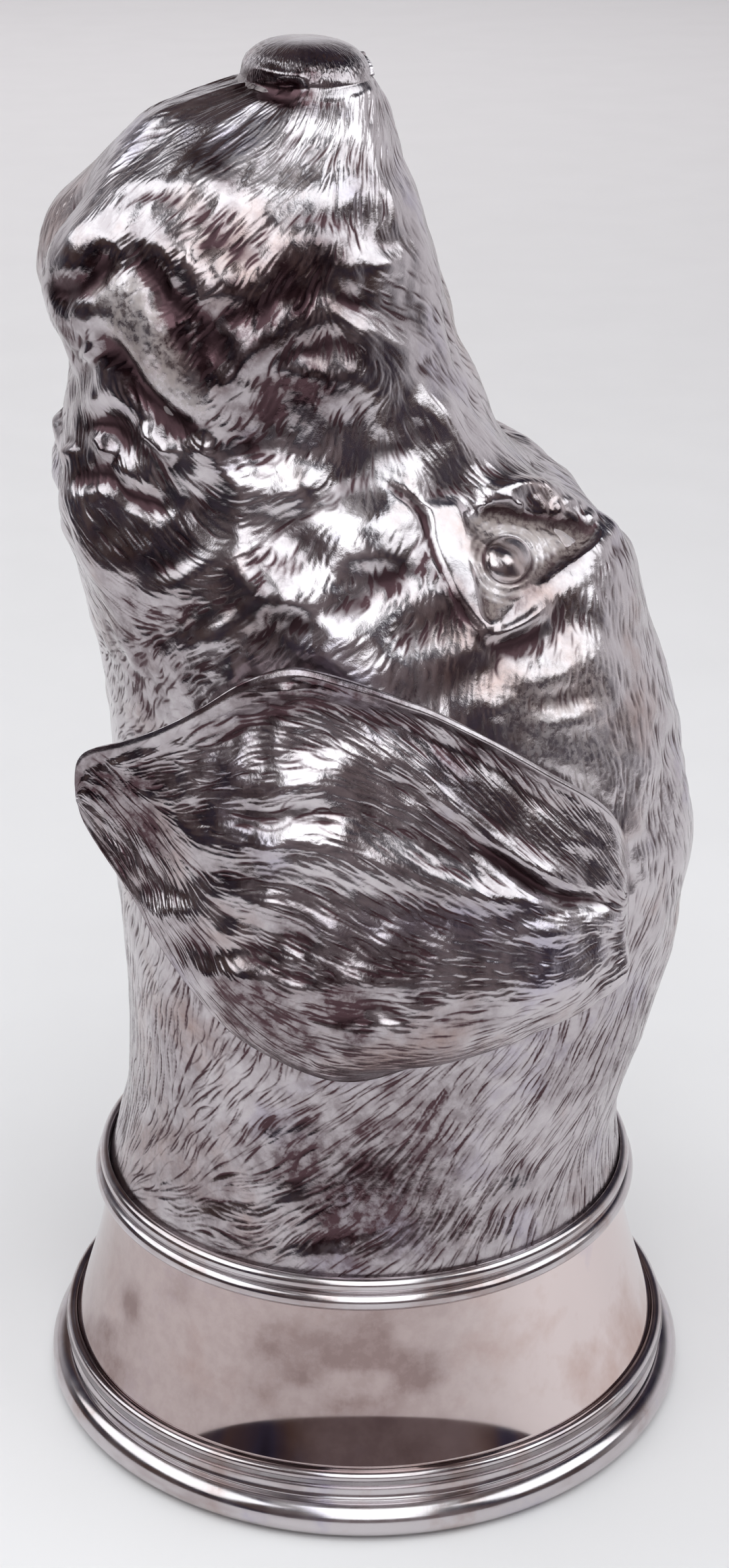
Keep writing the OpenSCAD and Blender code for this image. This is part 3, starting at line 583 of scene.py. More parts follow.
say_relief("face", face)

# %% [markdown]
# ## The chased fur
# Fur on silver is cut stroke by stroke with a chasing tool, and the strokes follow the lie of the
# coat. Drawing thousands of strokes by hand is slow, so grains of noise are smeared along the
# lie instead: each point takes the mean of the noise along its own strand. The lie is set by a few
# combed directions on the sheet, in degrees from the right, and blended between them.

# %% The lie of the coat
FACE_COMBED = (
    (-13.5, 79.5, 90), (-16, 77.5, 65), (-21.5, 77.5, 50), (-26, 73, 65), (-32.5, 68.5, 65),
    (-36, 65, 60), (-23, 65.5, 50), (-16, 68.5, 35), (-18, 63, 40), (-20.5, 58.5, 30),
    (-13.5, 59.5, 45), (-7, 65.5, 60), (-8, 78.5, 90), (0.5, 77.5, 80), (2, 73, 100),
    (5, 67.5, 105), (-0.5, 70, 55), (-0.5, 55, 140), (5, 52, 135), (8.5, 50.5, 130),
    (-7, 49.5, 80), (-13.5, 51, 45), (2, 49.5, 45), (-1.5, 45.5, 45), (-7, 40.5, 35),
    (-0.5, 36.5, 45), (4, 30.5, 50), (-8, 25, 35), (-2, 19.5, 40), (-11.5, 20.5, 45),
    (4, 20.5, 45), (0.5, 15, 50), (-19.5, 15, 45), (-18, 20.5, 35), (-23, 29.5, 150),
    (-29.5, 35, 120), (-32.5, 31, 140), (-25, 24, 160), (9.5, 15, 60), (22, 13, 70),
    (29.5, 15, 85), (19.5, 16.5, 60), (13, 44, 120), (11, 47.5, 115), (9.5, 38.5, 100),
    (6, 24, 60), (35, 2, 88), (16.5, -41.5, 65), (20.5, -50.5, 70), (7.5, -41.5, 50),
    (11, -48.5, 55), (0.5, -47, 45), (-7, -48.5, 40), (4, -54, 50), (26, -41.5, 80),
    (-19.5, -38, 60), (-25, -34, 80), (-16, -52.5, 10), (18.5, 36.5, 100), (25, 35, 70))
print(len(FACE_COMBED), "combed directions")

# %% [markdown]
# Two kinds of noise are needed: grains that are softened over a few cells of the net, and clouds
# of a given size in millimetres. The net closes on itself round the head, so both wrap there. The
# generator starts from a fixed seed, so every run cuts the same coat.

# %% Noise helpers
rng = np.random.default_rng(7)


def soften(field, cells):
    reach = np.arange(-int(3 * cells) - 1, int(3 * cells) + 2)
    kernel = np.exp(-(reach / max(cells, 1e-3)) ** 2 / 2)
    pad = len(reach) // 2
    for axis, mode in ((0, "edge"), (1, "wrap")):
        padded = np.pad(field, ((pad, pad), (0, 0)) if axis == 0 else ((0, 0), (pad, pad)), mode)
        cuts = [slice(k, k + field.shape[axis]) for k in range(len(reach))]
        field = sum(share * (padded[cut] if axis == 0 else padded[:, cut])
                    for share, cut in zip(kernel / kernel.sum(), cuts))
    return field


def clouds(shape, size, grid):
    coarse = rng.normal(size=(max(4, int(shape[0] * grid[0] / size)),
                              max(4, int(shape[1] * grid[1] / size))))
    rows_at = np.linspace(0, coarse.shape[0] - 1, shape[0])
    cols_at = np.arange(shape[1]) * coarse.shape[1] / shape[1]
    i, j = rows_at.astype(int), cols_at.astype(int)
    u, v = ease(rows_at - i, 0, 1)[:, None], ease(cols_at - j, 0, 1)[None, :]
    i2, j2 = np.minimum(i + 1, coarse.shape[0] - 1), (j + 1) % coarse.shape[1]
    top = coarse[i][:, j] * (1 - v) + coarse[i][:, j2] * v
    low = coarse[i2][:, j] * (1 - v) + coarse[i2][:, j2] * v
    return top * (1 - u) + low * u


print("noise helpers ready")

# %% Lay the coat
LEAST_CELL, LEAST_EAR_CELL = 0.05, 0.03
NET = skin.shape[:2]


def whole(half):
    return np.concatenate((half, half[:, -2:0:-1]), 1)


def head_clouds(size):
    return clouds(NET, size, cell)


cell_up = np.linalg.norm(np.gradient(skin, axis=0), axis=-1)
cell_round = np.linalg.norm(np.roll(skin, -1, 1) - skin, axis=-1)
cell = (float(np.median(cell_up)), float(np.median(cell_round)))
mirror_sign = np.where(np.arange(AROUND) < HALF, 1.0, -1.0)[None, :]
lie = whole(face.comb(FACE_COMBED, 5.0)) + 0.28 * head_clouds(5.0)
cells = np.maximum(cell_up, LEAST_CELL), np.maximum(cell_round, LEAST_CELL)
steps = np.sin(lie) / cells[0], -np.cos(lie) * mirror_sign / cells[1]
print("net cells in mm:", [round(c, 3) for c in cell])

# %% [markdown]
# Smearing walks both ways along the strand in small steps and adds up the noise it meets. Walking
# further gives longer hair. The result is scaled to the same spread everywhere, so one number
# sets the depth of the cut.

# %% Smear noise into strands
def strands(noise, steps, length, stride=0.2):
    rows, cols = noise.shape
    step_up, step_round = (np.float32(stride) * part.astype(np.float32) for part in steps)
    total = noise.astype(np.float32)
    for way in (1, -1):
        at_up, at_round = np.meshgrid(np.arange(rows, dtype=np.float32),
                                      np.arange(cols, dtype=np.float32), indexing="ij")
        i, j = at_up.astype(np.int32), at_round.astype(np.int32)
        for _ in range(int(length / stride / 2)):
            at_up = np.clip(at_up + way * step_up[i, j], 0, rows - 1)
            at_round = at_round + way * step_round[i, j]
            i, j = np.rint(at_up).astype(np.int32), np.rint(at_round).astype(np.int32) % cols
            total += noise[i, j]
    return (total - total.mean()) / total.std()


grain = rng.normal(size=NET)
hair = strands(soften(grain, 0.9 * FINE), steps, 2.2)
swell = head_clouds(6.5) + 0.4 * head_clouds(3.2)
print("hair and swellings made")

# %% [markdown]
# Over the fine hair go the strokes of the chasing tool itself. Each stroke starts at a random
# place, walks along the lie with a bend of its own, and stamps a small round dent at every step,
# deepest in the middle. Where dents overlap the deeper one counts, so strokes stay crisp.

# %% Stamp the strokes
STAMPS, CUT_HALF_WIDTH = 32, 0.15


def strokes(steps, cells, per_mm2, length, wander):
    rows, cols = steps[0].shape
    area = np.cumsum((per_mm2 * cells[0] * cells[1]).ravel())
    seeds = np.searchsorted(area, rng.random(int(area[-1])) * area[-1])
    at_up, at_round = (seeds // cols).astype(float), (seeds % cols).astype(float)
    span = length.ravel()[seeds] * rng.uniform(0.6, 1.4, len(seeds)) / STAMPS
    depth, bend = rng.uniform(0.4, 1.0, len(seeds)), rng.normal(0, wander, len(seeds))
    field = np.zeros((rows, cols), np.float32)
    for k in range(STAMPS):
        t = (k + 0.5) / STAMPS
        i = np.clip(np.rint(at_up), 0, rows - 1).astype(int)
        j = np.rint(at_round).astype(int) % cols
        up_mm, round_mm = cells[0][i, j], cells[1][i, j]
        press = depth * math.sin(math.pi * t) ** 0.7
        slip_up, slip_round = at_up - np.rint(at_up), at_round - np.rint(at_round)
        for di in range(-2, 3):
            for dj in range(-2, 3):
                off = ((slip_up - di) * up_mm) ** 2 + ((slip_round - dj) * round_mm) ** 2
                np.maximum.at(field, (np.clip(i + di, 0, rows - 1), (j + dj) % cols),
                              press * np.exp(-off / CUT_HALF_WIDTH ** 2))
        go_up, go_round = steps[0][i, j] * up_mm, steps[1][i, j] * round_mm
        turn = bend * (2 * t - 1)
        at_up += (go_up * np.cos(turn) - go_round * np.sin(turn)) * span / up_mm
        at_round += (go_up * np.sin(turn) + go_round * np.cos(turn)) * span / round_mm
    print(len(seeds), "strokes")
    return field


on_neck = (1 - ease(heights, 20, 42))[:, None]
cuts = strokes(steps, cells, 0.75 - 0.1 * on_neck, 3.0 + 2.0 * on_neck + 0 * cell_up, 0.35)

# %% [markdown]
# The relief, the swellings and the hair are summed and pressed out along the skin's own direction.
# Bare parts, which are the eye, the lips and the nose, get almost no hair, and the nose gets
# pebbles. Three marks are kept for the silver. Recess says how far a point lies below its
# surroundings or in a cut, because old silver stays dark there and bright on top. A mark of dark
# film carries the tarnish together with the painted shade, and matte carries the dull patches,
# both broken up by clouds.

# %% Raise the head
HAIR_DEPTH, CUT_DEPTH, SWELL_DEPTH, DIMPLE_DEPTH, PIT_DEPTH = 0.010, 0.065, 0.34, 0.05, 0.18
RECESS_DEPTH, CUT_TARNISH = 0.32, 0.6
dulled = whole(face.matte)
on_nose = whole(ease(face.y, 82.5, 84.5) * face.facing)
coat = 1 - 0.93 * np.clip(np.maximum(whole(face.bare), on_nose), 0, 1)
pebbles = soften(rng.normal(size=NET), 1.3 * FINE)
pebbles = pebbles / pebbles.std()
pitted = np.exp(-((face.x + 12.3) / 8) ** 2 - ((face.y + 45) / 6.5) ** 2) * face.facing
fine_relief = coat * (HAIR_DEPTH * (1 + 0.8 * on_neck) * hair
                      - CUT_DEPTH * (1 + 0.6 * on_neck) * cuts)
fine_relief += pebbles * (0.012 * on_nose + 0.016 * dulled)
fine_relief += DIMPLE_DEPTH * coat * (1 - 0.8 * on_neck) * head_clouds(1.8)
fine_relief += PIT_DEPTH * whole(pitted) * head_clouds(3.0)
swell = swell * coat * (1 - 0.75 * on_neck) * (1 - 0.6 * whole(face.planed)) * (1 - 0.7 * dulled)
height_map = whole(face.relief) + SWELL_DEPTH * swell + fine_relief
ends = ease(heights, 0.5, 5) * (1 - ease(heights, NOSE_TOP + 2, NOSE_TOP + DOME_SPAN))
height_map *= ends[:, None]
print("height map from", round(float(height_map.min()), 2), "to", round(float(height_map.max()), 2))

# %% Marks of the head
recess = np.clip((soften(height_map, 6 * FINE) - height_map) / RECESS_DEPTH
                 + CUT_TARNISH * coat * cuts, -1, 1)
patchy = ease(head_clouds(7.0) + 0.6 * head_clouds(2.4), -1.2, 1.0)
# dark film: tarnish, together with the painted shade drawn on the face
film = np.clip((0.12 + 0.22 * on_neck + whole(face.film)) * (0.6 + 0.55 * patchy), 0, 1)
matte = dulled * (0.6 + 0.5 * patchy)
print("mean film", round(float(film.mean()), 2), "and matte", round(float(matte.mean()), 2))

# %% [markdown]
# The head is hollow, so its stack of rings starts inside at the nose, runs down the inner wall,
# round the spigot that stands in the collar, and up the chased skin.

# %% Close the head
WALL, SPIGOT_R, SPIGOT_L = 1.7, 27.9, 5.0
inner_heights = np.linspace(NOSE_TOP + 1, 4, 70)
head_rings = skin + normals * height_map[..., None]
inner = cast_form(angles[None, :], inner_heights[:, None], -WALL)
circle = np.stack((np.cos(np.radians(angles)), -np.sin(np.radians(angles)), 0 * angles), -1)
spigot = np.stack([circle * r + np.array((0, 0, z)) for r, z in
                   ((SPIGOT_R - WALL, SEAM_Z - SPIGOT_L), (SPIGOT_R, SEAM_Z - SPIGOT_L),
                    (SPIGOT_R, SEAM_Z - 0.4))])
hidden = len(inner) + len(spigot)


def with_inside(field, value):
    return np.vstack((np.full((hidden, AROUND), value), field))


head = ring_mesh("hound_head", np.concatenate((inner, spigot, head_rings)),
                 recess=with_inside(recess, 0.3), film=with_inside(film, 0.2),
                 matte=with_inside(matte, 0.5))
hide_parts("head_left_half", "head_right_half")

# %% [markdown]
# ## The ears
# Each ear is a hanging leaf that follows the side of the head at a small distance. Its front edge
# is a thin bright rim, behind it lies a hollow, and a crease runs along the middle. The leaf is
# drawn on its own net, along its length and across, and its hair runs in waves from root to tip.

# %% Ear outline and lift
EAR_FRONT = ((52, 46), (55, 47.8), (63, 53.7), (72, 58), (83, 63.4), (91, 67), (100, 69.5),
             (107, 70.4), (116, 69), (125, 66.2), (133, 63.8), (140, 62), (145, 60.8),
             (147.5, 59.4), (148.7, 57.4), (149, 55.2))
EAR_BACK = ((52, 41), (56, 34.5), (60, 31.2), (70, 29.2), (82, 27.4), (91, 26.2), (101, 25.6),
            (108, 26.3), (116, 28.3), (125, 31.7), (131, 35.8), (137, 41.4), (140, 45.2),
            (143, 48), (146, 50.6), (148, 52.6), (148.7, 53.8), (149, 55))
EAR_ROOT, EAR_TIP, EAR_WALL = 52, 149, 2.0
FAR_TIP, TIP_LIFT, FAR_TIP_LIFT = 132, 10.8, 4.0
ROOT_LIFT, EAR_BULGE, FRONT_DIP = 2.2, 5.2, 0.9
EAR_ALONG, EAR_ACROSS = int(560 * FINE), int(330 * FINE)


def ear_lift(s, c, tip_lift=TIP_LIFT):
    return (ROOT_LIFT + (tip_lift - ROOT_LIFT) * s ** 2.6
            + EAR_BULGE * np.sin(np.pi * c ** 2.6) * np.sin(np.pi * np.minimum(1.15 * s, 1))
            - FRONT_DIP * np.exp(-((c - 0.18) / 0.12) ** 2) * np.sin(np.pi * s))


def ear_point(s, c, lift, tip=EAR_TIP):
    drawn = EAR_ROOT + (EAR_TIP - EAR_ROOT) * s
    height = curve(EAR_FRONT, drawn) * (1 - c) + curve(EAR_BACK, drawn) * c
    return cast_form(EAR_ROOT + (tip - EAR_ROOT) * s, height, lift)


even_along, even_across = np.linspace(0.001, 1, EAR_ALONG), np.linspace(0, 1, EAR_ACROSS)
along = 0.75 * even_along + 0.125 * (1 - np.cos(even_along * np.pi))
across = 0.75 * even_across + 0.125 * (1 - np.cos(even_across * np.pi))
s, c = np.meshgrid(along, across, indexing="ij")
leaf = ear_point(s, c, ear_lift(s, c))
run_along, run_across = np.gradient(leaf, axis=0), np.gradient(leaf, axis=1)
leaf_normals = np.cross(run_along, run_across)
leaf_normals /= np.maximum(np.linalg.norm(leaf_normals, axis=-1, keepdims=True), 1e-9)
leaf_normals *= np.sign((leaf_normals * (EYE - leaf)).sum())
ear = Drawing(leaf, leaf_normals)
print("ear net", leaf.shape[:2])

# %% [markdown]
# The ear is drawn like the face, with facets for its bright and dark patches, a deep slit near
# the root, and the fold that rolls along under the rim.

# %% Ear facets and folds
EAR_FACETS = (
    (-7, 8.5, 9, 2.6, 0, -0.45), (-10.5, -5, 6.6, 1.6, 0, 0.35), (-8, 1.5, 4, 1.8, 20, 0.3),
    (4.5, -1.5, 2.6, 1.6, -20, 0.3), (4.5, -6.5, 3, 2.6, -40, 0.35),
    (11, -10.5, 4.8, 1.8, -15, 0.4), (16.5, -12.5, 3, 1, -10, 0.3),
    (-5, -11.5, 7.2, 2.6, -10, -0.2), (-28, -3.5, 4, 4.4, 60, -0.2), (-14, -21, 3.6, 1.6, 0, 0.45),
    (-8, -23.5, 2.2, 1, -20, 0.35), (-9.5, -16.5, 3.2, 1.4, -30, -0.35),
    (23, -16, 4.4, 1.2, 5, 0.35), (23, -21.5, 4.8, 2.6, 10, 0.12), (-5, -29, 4.4, 1, -10, 0.4),
    (2.5, -28.5, 1.8, 1, -30, 0.4), (-9.5, -28, 4.8, 1.6, -30, -0.35),
    (-0.5, -25, 3.2, 1.4, 0, -0.3), (-23, -14, 3, 1, -20, 0.3, 100),
    (-20.5, -18, 2.6, 1.4, -30, -0.25), (-16, -15, 2.6, 1.4, -20, -0.2))
# ovals of dark film on the ear; the one at the tip is a painted dark reflection
EAR_TARNISH_AND_SHADE = (
    (-22, -19, 8, 5, -50, 0.5), (-8, -28, 15, 5.5, -12, 0.6), (-29, -4, 8, 7, 60, 0.6),
    (8, -25, 9, 5, 0, 0.35), (-14, -14, 8, 3, -20, 0.35), (10, 2, 7, 2.5, -35, 0.35),
    (-8, 10, 14, 3.5, 3, 0.45), (-22, 5, 8, 3, 30, 0.3))
for facet in EAR_FACETS:
    ear.facet(*facet)
for oval in EAR_TARNISH_AND_SHADE:
    ear.tarnish_and_shade(*oval)
ear.line(((12.2, -6.6), (16.7, -9.6), (20.7, -12.4), (25, -14), (31.6, -14.2)), 1.0, -1.0, 0.4)
ear.line(((4.4, 2.2), (11.2, -3.2), (18.6, -9), (26.6, -12)), 1.3, 0.7, 0.4)
say_relief("ear", ear)

# %% [markdown]
# The ear's hair is combed and cut with the same tools as the head's. After that a rim is raised
# along the front edge and a hollow is sunk behind it. Hair and swellings fade out toward the
# edges, so that the leaf can close cleanly.

# %% Ear hair
EAR_COMBED = (
    (-30.5, -1.5, 120), (-27, -8.5, 135), (-23, -11.5, 150), (-25, 3, 30), (-18, 7.5, 25),
    (-10.5, 10.5, 5), (-3.5, 9.5, -10), (4, 6, -25), (11, 1.5, -33), (18.5, -3.5, -35),
    (25, -6, -40), (-16, 0.5, 10), (-7, -1.5, 5), (0.5, -1.5, -10), (4, -6, -35), (11, -8.5, -20),
    (-14, -8.5, -5), (-7, -11.5, -25), (-1.5, -13.5, -30), (-10.5, -14, -35), (-16, -12.5, 5),
    (2, -15, -10), (11, -16, 0), (20.5, -18, 3), (26.5, -20.5, 10), (0.5, -19.5, -20),
    (-7, -18, -30), (7.5, -23, 0), (16.5, -23, 3), (-23, -16, -20), (-19.5, -19.5, -25),
    (-14, -23, 10), (-8.5, -25, -20), (-14, -28, -40), (-5, -30.5, 0), (4, -28.5, 10),
    (-1.5, -32.5, 5))
cell_along = np.linalg.norm(run_along, axis=-1)
cell_across = np.linalg.norm(run_across, axis=-1)
ear_cell = (float(np.median(cell_along)), float(np.median(cell_across)))


def ear_clouds(size):
    return clouds(s.shape, size, ear_cell)


lie = ear.comb(EAR_COMBED, 4.0) + 0.22 * ear_clouds(5.0)
wanted = np.cos(lie)[..., None] * TO_RIGHT + np.sin(lie)[..., None] * UPWARD
steps = ((wanted * run_along).sum(-1) / np.maximum(cell_along, LEAST_CELL) ** 2,
         (wanted * run_across).sum(-1) / np.maximum(cell_across, LEAST_CELL) ** 2)
grain = rng.normal(size=s.shape)
ear_hair = strands(soften(grain, 0.8 * FINE), steps, 2.4)
ear_cells = (np.maximum(cell_along, LEAST_EAR_CELL),
             np.maximum(cell_across, LEAST_EAR_CELL))
ear_cuts = strokes(steps, ear_cells, 0.7, 3.6 + 0 * s, 0.4)

# %% Raise the ear
EAR_HAIR_DEPTH, EAR_CUT_DEPTH, EAR_SWELL_DEPTH, EAR_DIMPLE_DEPTH = 0.012, 0.07, 0.30, 0.06
RIM_RISE, HOLLOW_DEPTH = 0.5, 1.2
from_front = np.cumsum(cell_across, 1)
from_back = from_front[:, -1:] - from_front
inside_edge = ease(from_front, 0.6, 2.2) * ease(from_back, 0.2, 2.0) * ease(s, 0.0, 0.1)
ear_swell = ear_clouds(6.0) + 0.5 * ear_clouds(2.6)
ear_relief = (ear.relief + EAR_SWELL_DEPTH * ear_swell * (1 - 0.6 * ear.planed)
              + EAR_HAIR_DEPTH * ear_hair)
ear_relief += EAR_DIMPLE_DEPTH * ear_clouds(1.7)
ear_relief = (ear_relief - EAR_CUT_DEPTH * ear_cuts) * inside_edge
rim = np.exp(-((from_front - 0.7) / 0.6) ** 2) * ease(s, 0, 0.15)
hollow = np.exp(-((from_front - 4.0) / 2.0) ** 2) * ease(s, 0.1, 0.3)
ear_relief += RIM_RISE * rim * (1 - 0.7 * ease(s, 0.5, 0.75))
ear_relief -= HOLLOW_DEPTH * hollow * ease(-s, -0.9, -0.6)
print("ear raised by up to", round(float(ear_relief.max()), 2), "mm")

# %% Marks of the ear
ear_recess = np.clip((soften(ear_relief, 5 * FINE) - ear_relief) / RECESS_DEPTH
                     + CUT_TARNISH * ear_cuts, -1, 1)
ear_patchy = ease(ear_clouds(6.0) + 0.6 * ear_clouds(2.4), -1.2, 1.0)
pale = np.exp(-((ear.x - 25) / 12) ** 2 - ((ear.y + 20) / 7) ** 2)
# the ear's film: tarnish, with a painted dark reflection at the tip
ear_film = (0.34 + ear.film) * (0.5 + 0.65 * ear_patchy) * (1 - 0.7 * pale)
ear_film = np.clip(ear_film, 0, 0.8) * ease(s, 0.0, 0.12)
print("mean film of the ear", round(float(ear_film.mean()), 2))

# %% [markdown]
# The leaf has thickness, so its section is closed: over the outer face, round the back edge, in
# along the inner face, and round the front edge. Near the root and along the lower edge the leaf
# sinks into the neck, as a cast-on ear does. The right ear repeats the left one mirrored, but it
# ends sooner and lies flatter, because its tip doesn't show past the throat.

# %% Close the ears
inner_cols = np.linspace(EAR_ACROSS - 1, 0, 60).astype(int)


def ear_leaf(name, tip, tip_lift, side):
    stand = ear_lift(s, c, tip_lift)
    lift = (stand + ear_relief) * ease(s, -0.02, 0.10) - 0.4 * (1 - ease(s, 0.0, 0.10))
    lift -= (stand + 0.2) * (1 - ease(from_back, 0.0, 4.5)) * ease(-s, -0.6, -0.36)
    thick = EAR_WALL * (0.25 + 0.75 * ease(np.minimum(from_front, from_back), 0, 1.6))
    under = np.maximum(lift - thick, np.minimum(0.1, lift - 0.3))
    outer, inner = ear_point(s, c, lift, tip), ear_point(s, c, under, tip)
    rings = np.concatenate((outer, inner[:, inner_cols]), 1)
    inside = np.full((EAR_ALONG, len(inner_cols)), 0.4)
    marks = {"recess": np.concatenate((ear_recess, inside), 1),
             "film": np.concatenate((ear_film, inside), 1)}
    if side < 0:
        return ring_mesh(name, rings[:, ::-1], **{k: v[:, ::-1] for k, v in marks.items()})
    return ring_mesh(name, rings * np.array((1, -1, 1)), **marks)


left_ear = ear_leaf("ear_left_leaf", EAR_TIP, TIP_LIFT, -1)
right_ear = ear_leaf("ear_right_leaf", FAR_TIP, FAR_TIP_LIFT, 1)
for piece, node in ((left_ear, "left_ear"), (right_ear, "right_ear")):
    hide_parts(node)

# %% [markdown]
# ## The turned rings
# The collar, the reeding and the mouth moulding are round work, so each is a profile turned about
# the axis. Short arcs at the corners stand for the soft edges that polishing leaves, and they
# catch thin lines of light.

# %% Turn a profile
TURNS = 512
around = np.arange(TURNS) * 2 * np.pi / TURNS


def turned(name, profile, film):
    profile = np.array(profile, float)
    rings = np.stack((profile[:, :1] * np.cos(-around), profile[:, :1] * np.sin(-around),
                      np.repeat(profile[:, 1:], TURNS, 1)), -1)
    return ring_mesh(name, rings, looped=True, film=film)


def arc(centre, radius, start, end, parts):
    turn = np.radians(np.linspace(start, end, parts))
    return list(zip(centre[0] + radius * np.cos(turn), centre[1] + radius * np.sin(turn)))


def spots(profile, grid, size, fine_size, fine_share):
    spread = (len(profile), TURNS)
    return clouds(spread, size, grid) + fine_share * clouds(spread, fine_size, grid)


print("profiles are turned in", TURNS, "steps")

# %% [markdown]
# The collar flares from the neck to the mouth, and its bore takes the head's spigot. Its tarnish
# is a soft brown that comes in clouds, and on the left the same brown is laid on thicker as painted
# shade. The reeding hides the seam to the head, and the moulding stiffens the mouth that the cup
# stands on.

# %% Collar
NECK_R, FOOT_R, FOOT_H, COLLAR_WALL, BORE_R, BORE_DEPTH = 29.2, 33.6, 7.4, 1.2, 28.0, 5.0
z_up = np.linspace(FOOT_H, SEAM_Z, 60)
flare = NECK_R + (FOOT_R - NECK_R) * ((SEAM_Z - z_up) / (SEAM_Z - FOOT_H)) ** 1.7
outside = [(FOOT_R, 0.0), (FOOT_R, FOOT_H - 0.3)] + list(zip(flare, z_up))
bore = [(BORE_R, SEAM_Z), (BORE_R, SEAM_Z - BORE_DEPTH)]
inner_wall = [(r - COLLAR_WALL, z) for r, z in zip(flare[::-1], z_up[::-1])
              if z < SEAM_Z - BORE_DEPTH - 0.2]
foot = [(FOOT_R - COLLAR_WALL, FOOT_H), (FOOT_R - COLLAR_WALL, 0.0)]
profile = outside + bore + inner_wall + foot
brown = 0.7 * ease(spots(profile, (0.6, 0.38), 12, 4, 0.4), 0.0, 2.2) - 0.15
# painted shade: the brown grows thicker toward the left, so the right side of the collar stays
# lighter
leftward = -np.cos(around - math.radians(10))
brown = np.clip(brown + ease(leftward, -0.9, 0) * (0.85 - 0.2 * np.maximum(leftward, 0)), 0, 1)
collar = turned("neck_collar", profile, brown)
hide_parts("collar")

# %% Reeding and mouth moulding
def smudged(profile):
    return 0.5 * ease(spots(profile, (0.3, 0.4), 8, 2, 0.5), -0.8, 1.8)


reeds = ([(29.3, 25.0)] + arc((29.75, 26.0), 1.0, -90, 90, 60)
         + arc((29.4, 27.8), 0.8, -60, 90, 48) + [(29.25, 28.6)])
reeding = turned("neck_reeds", reeds, smudged(reeds))
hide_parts("neck_reeding")
roll = arc((34.7, 2.0), 2.0, -90, 90, 80)
ledge = [(34.7 - 0.2 * t, 4.0) for t in (1 / 3, 2 / 3)]
scotia = arc((35.85, 5.15), 1.44, 216, 128, 60)
bead = arc((34.25, 6.85), 0.55, -60, 100, 40)
band = [(33.7, 0.0)] + roll + ledge + scotia + bead + [(33.7, 7.4)]
moulding = turned("mouth_band", band, smudged(band))
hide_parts("mouth_moulding")

# %% [markdown]
# ## Silver
# Silver is a metal with an almost white, faintly warm reflection. Polishing brightens what stands
# up, while a brown and violet film of tarnish is left in the cuts. The marks on each piece decide
# between them, and the film mark also carries painted shade wherever the drawing laid it on. Soft
# clouds of noise break both up so that no patch is one flat colour. First come helpers that add a
# node, feed its sockets with numbers or links, and hand back its output.

# %% Node helpers
class Recipe:
    def __init__(self, owner):
        owner.use_nodes = True
        self.nodes, self.links = owner.node_tree.nodes, owner.node_tree.links

    def feed(self, node, inputs):
        for name, value in inputs.items():
            if isinstance(value, bpy.types.NodeSocket):
                self.links.new(value, node.inputs[name])
            else:
                node.inputs[name].default_value = value
        return node.outputs

    def where(self, kind):
        return self.nodes.new("ShaderNodeTexCoord").outputs[kind]

    def mark(self, name):
        node = self.nodes.new("ShaderNodeAttribute")
        node.attribute_name = name
        return node.outputs["Fac"]

    def noise(self, place, scale, detail=2.0, rough=0.5):
        node = self.nodes.new("ShaderNodeTexNoise")
        inputs = {"Vector": place, "Scale": scale, "Detail": detail, "Roughness": rough}
        return self.feed(node, inputs)["Fac"]

    def remap(self, value, low, high, to_low=0.0, to_high=1.0):
        node = self.nodes.new("ShaderNodeMapRange")
        node.interpolation_type = "SMOOTHSTEP"
        return self.feed(node, {"Value": value, "From Min": low, "From Max": high,
                                "To Min": to_low, "To Max": to_high})["Result"]

    def combine(self, kind, *terms):
        node = self.nodes.new("ShaderNodeMath")
        node.operation, node.use_clamp = kind, True
        return self.feed(node, dict(enumerate(terms)))["Value"]

    def mix(self, share, first, second):
        node = self.nodes.new("ShaderNodeMix")
        node.data_type = "RGBA"
        return self.feed(node, {"Factor": share, "A": first, "B": second})["Result"]

    def ramp(self, share, *stops):
        node = self.nodes.new("ShaderNodeValToRGB")
        tones = node.color_ramp.elements
        tones[0].position, tones[1].position = stops[0][0], stops[-1][0]
        for position, _ in stops[1:-1]:
            tones.new(position)
        for tone, (_, colour) in zip(tones, stops):
            tone.color = (*colour, 1)
        return self.feed(node, {"Fac": share})["Color"]


print("node helpers ready")

# %% The silver recipe
VIOLET, BROWN, PATINA = (0.80, 0.80, 0.92), (0.72, 0.58, 0.52), (0.52, 0.45, 0.42)
GRAIN_DEPTH, MATTE_ROUGHNESS, MATTE_METAL, MATTE_PATINA = 0.12, 0.42, 0.5, 0.6


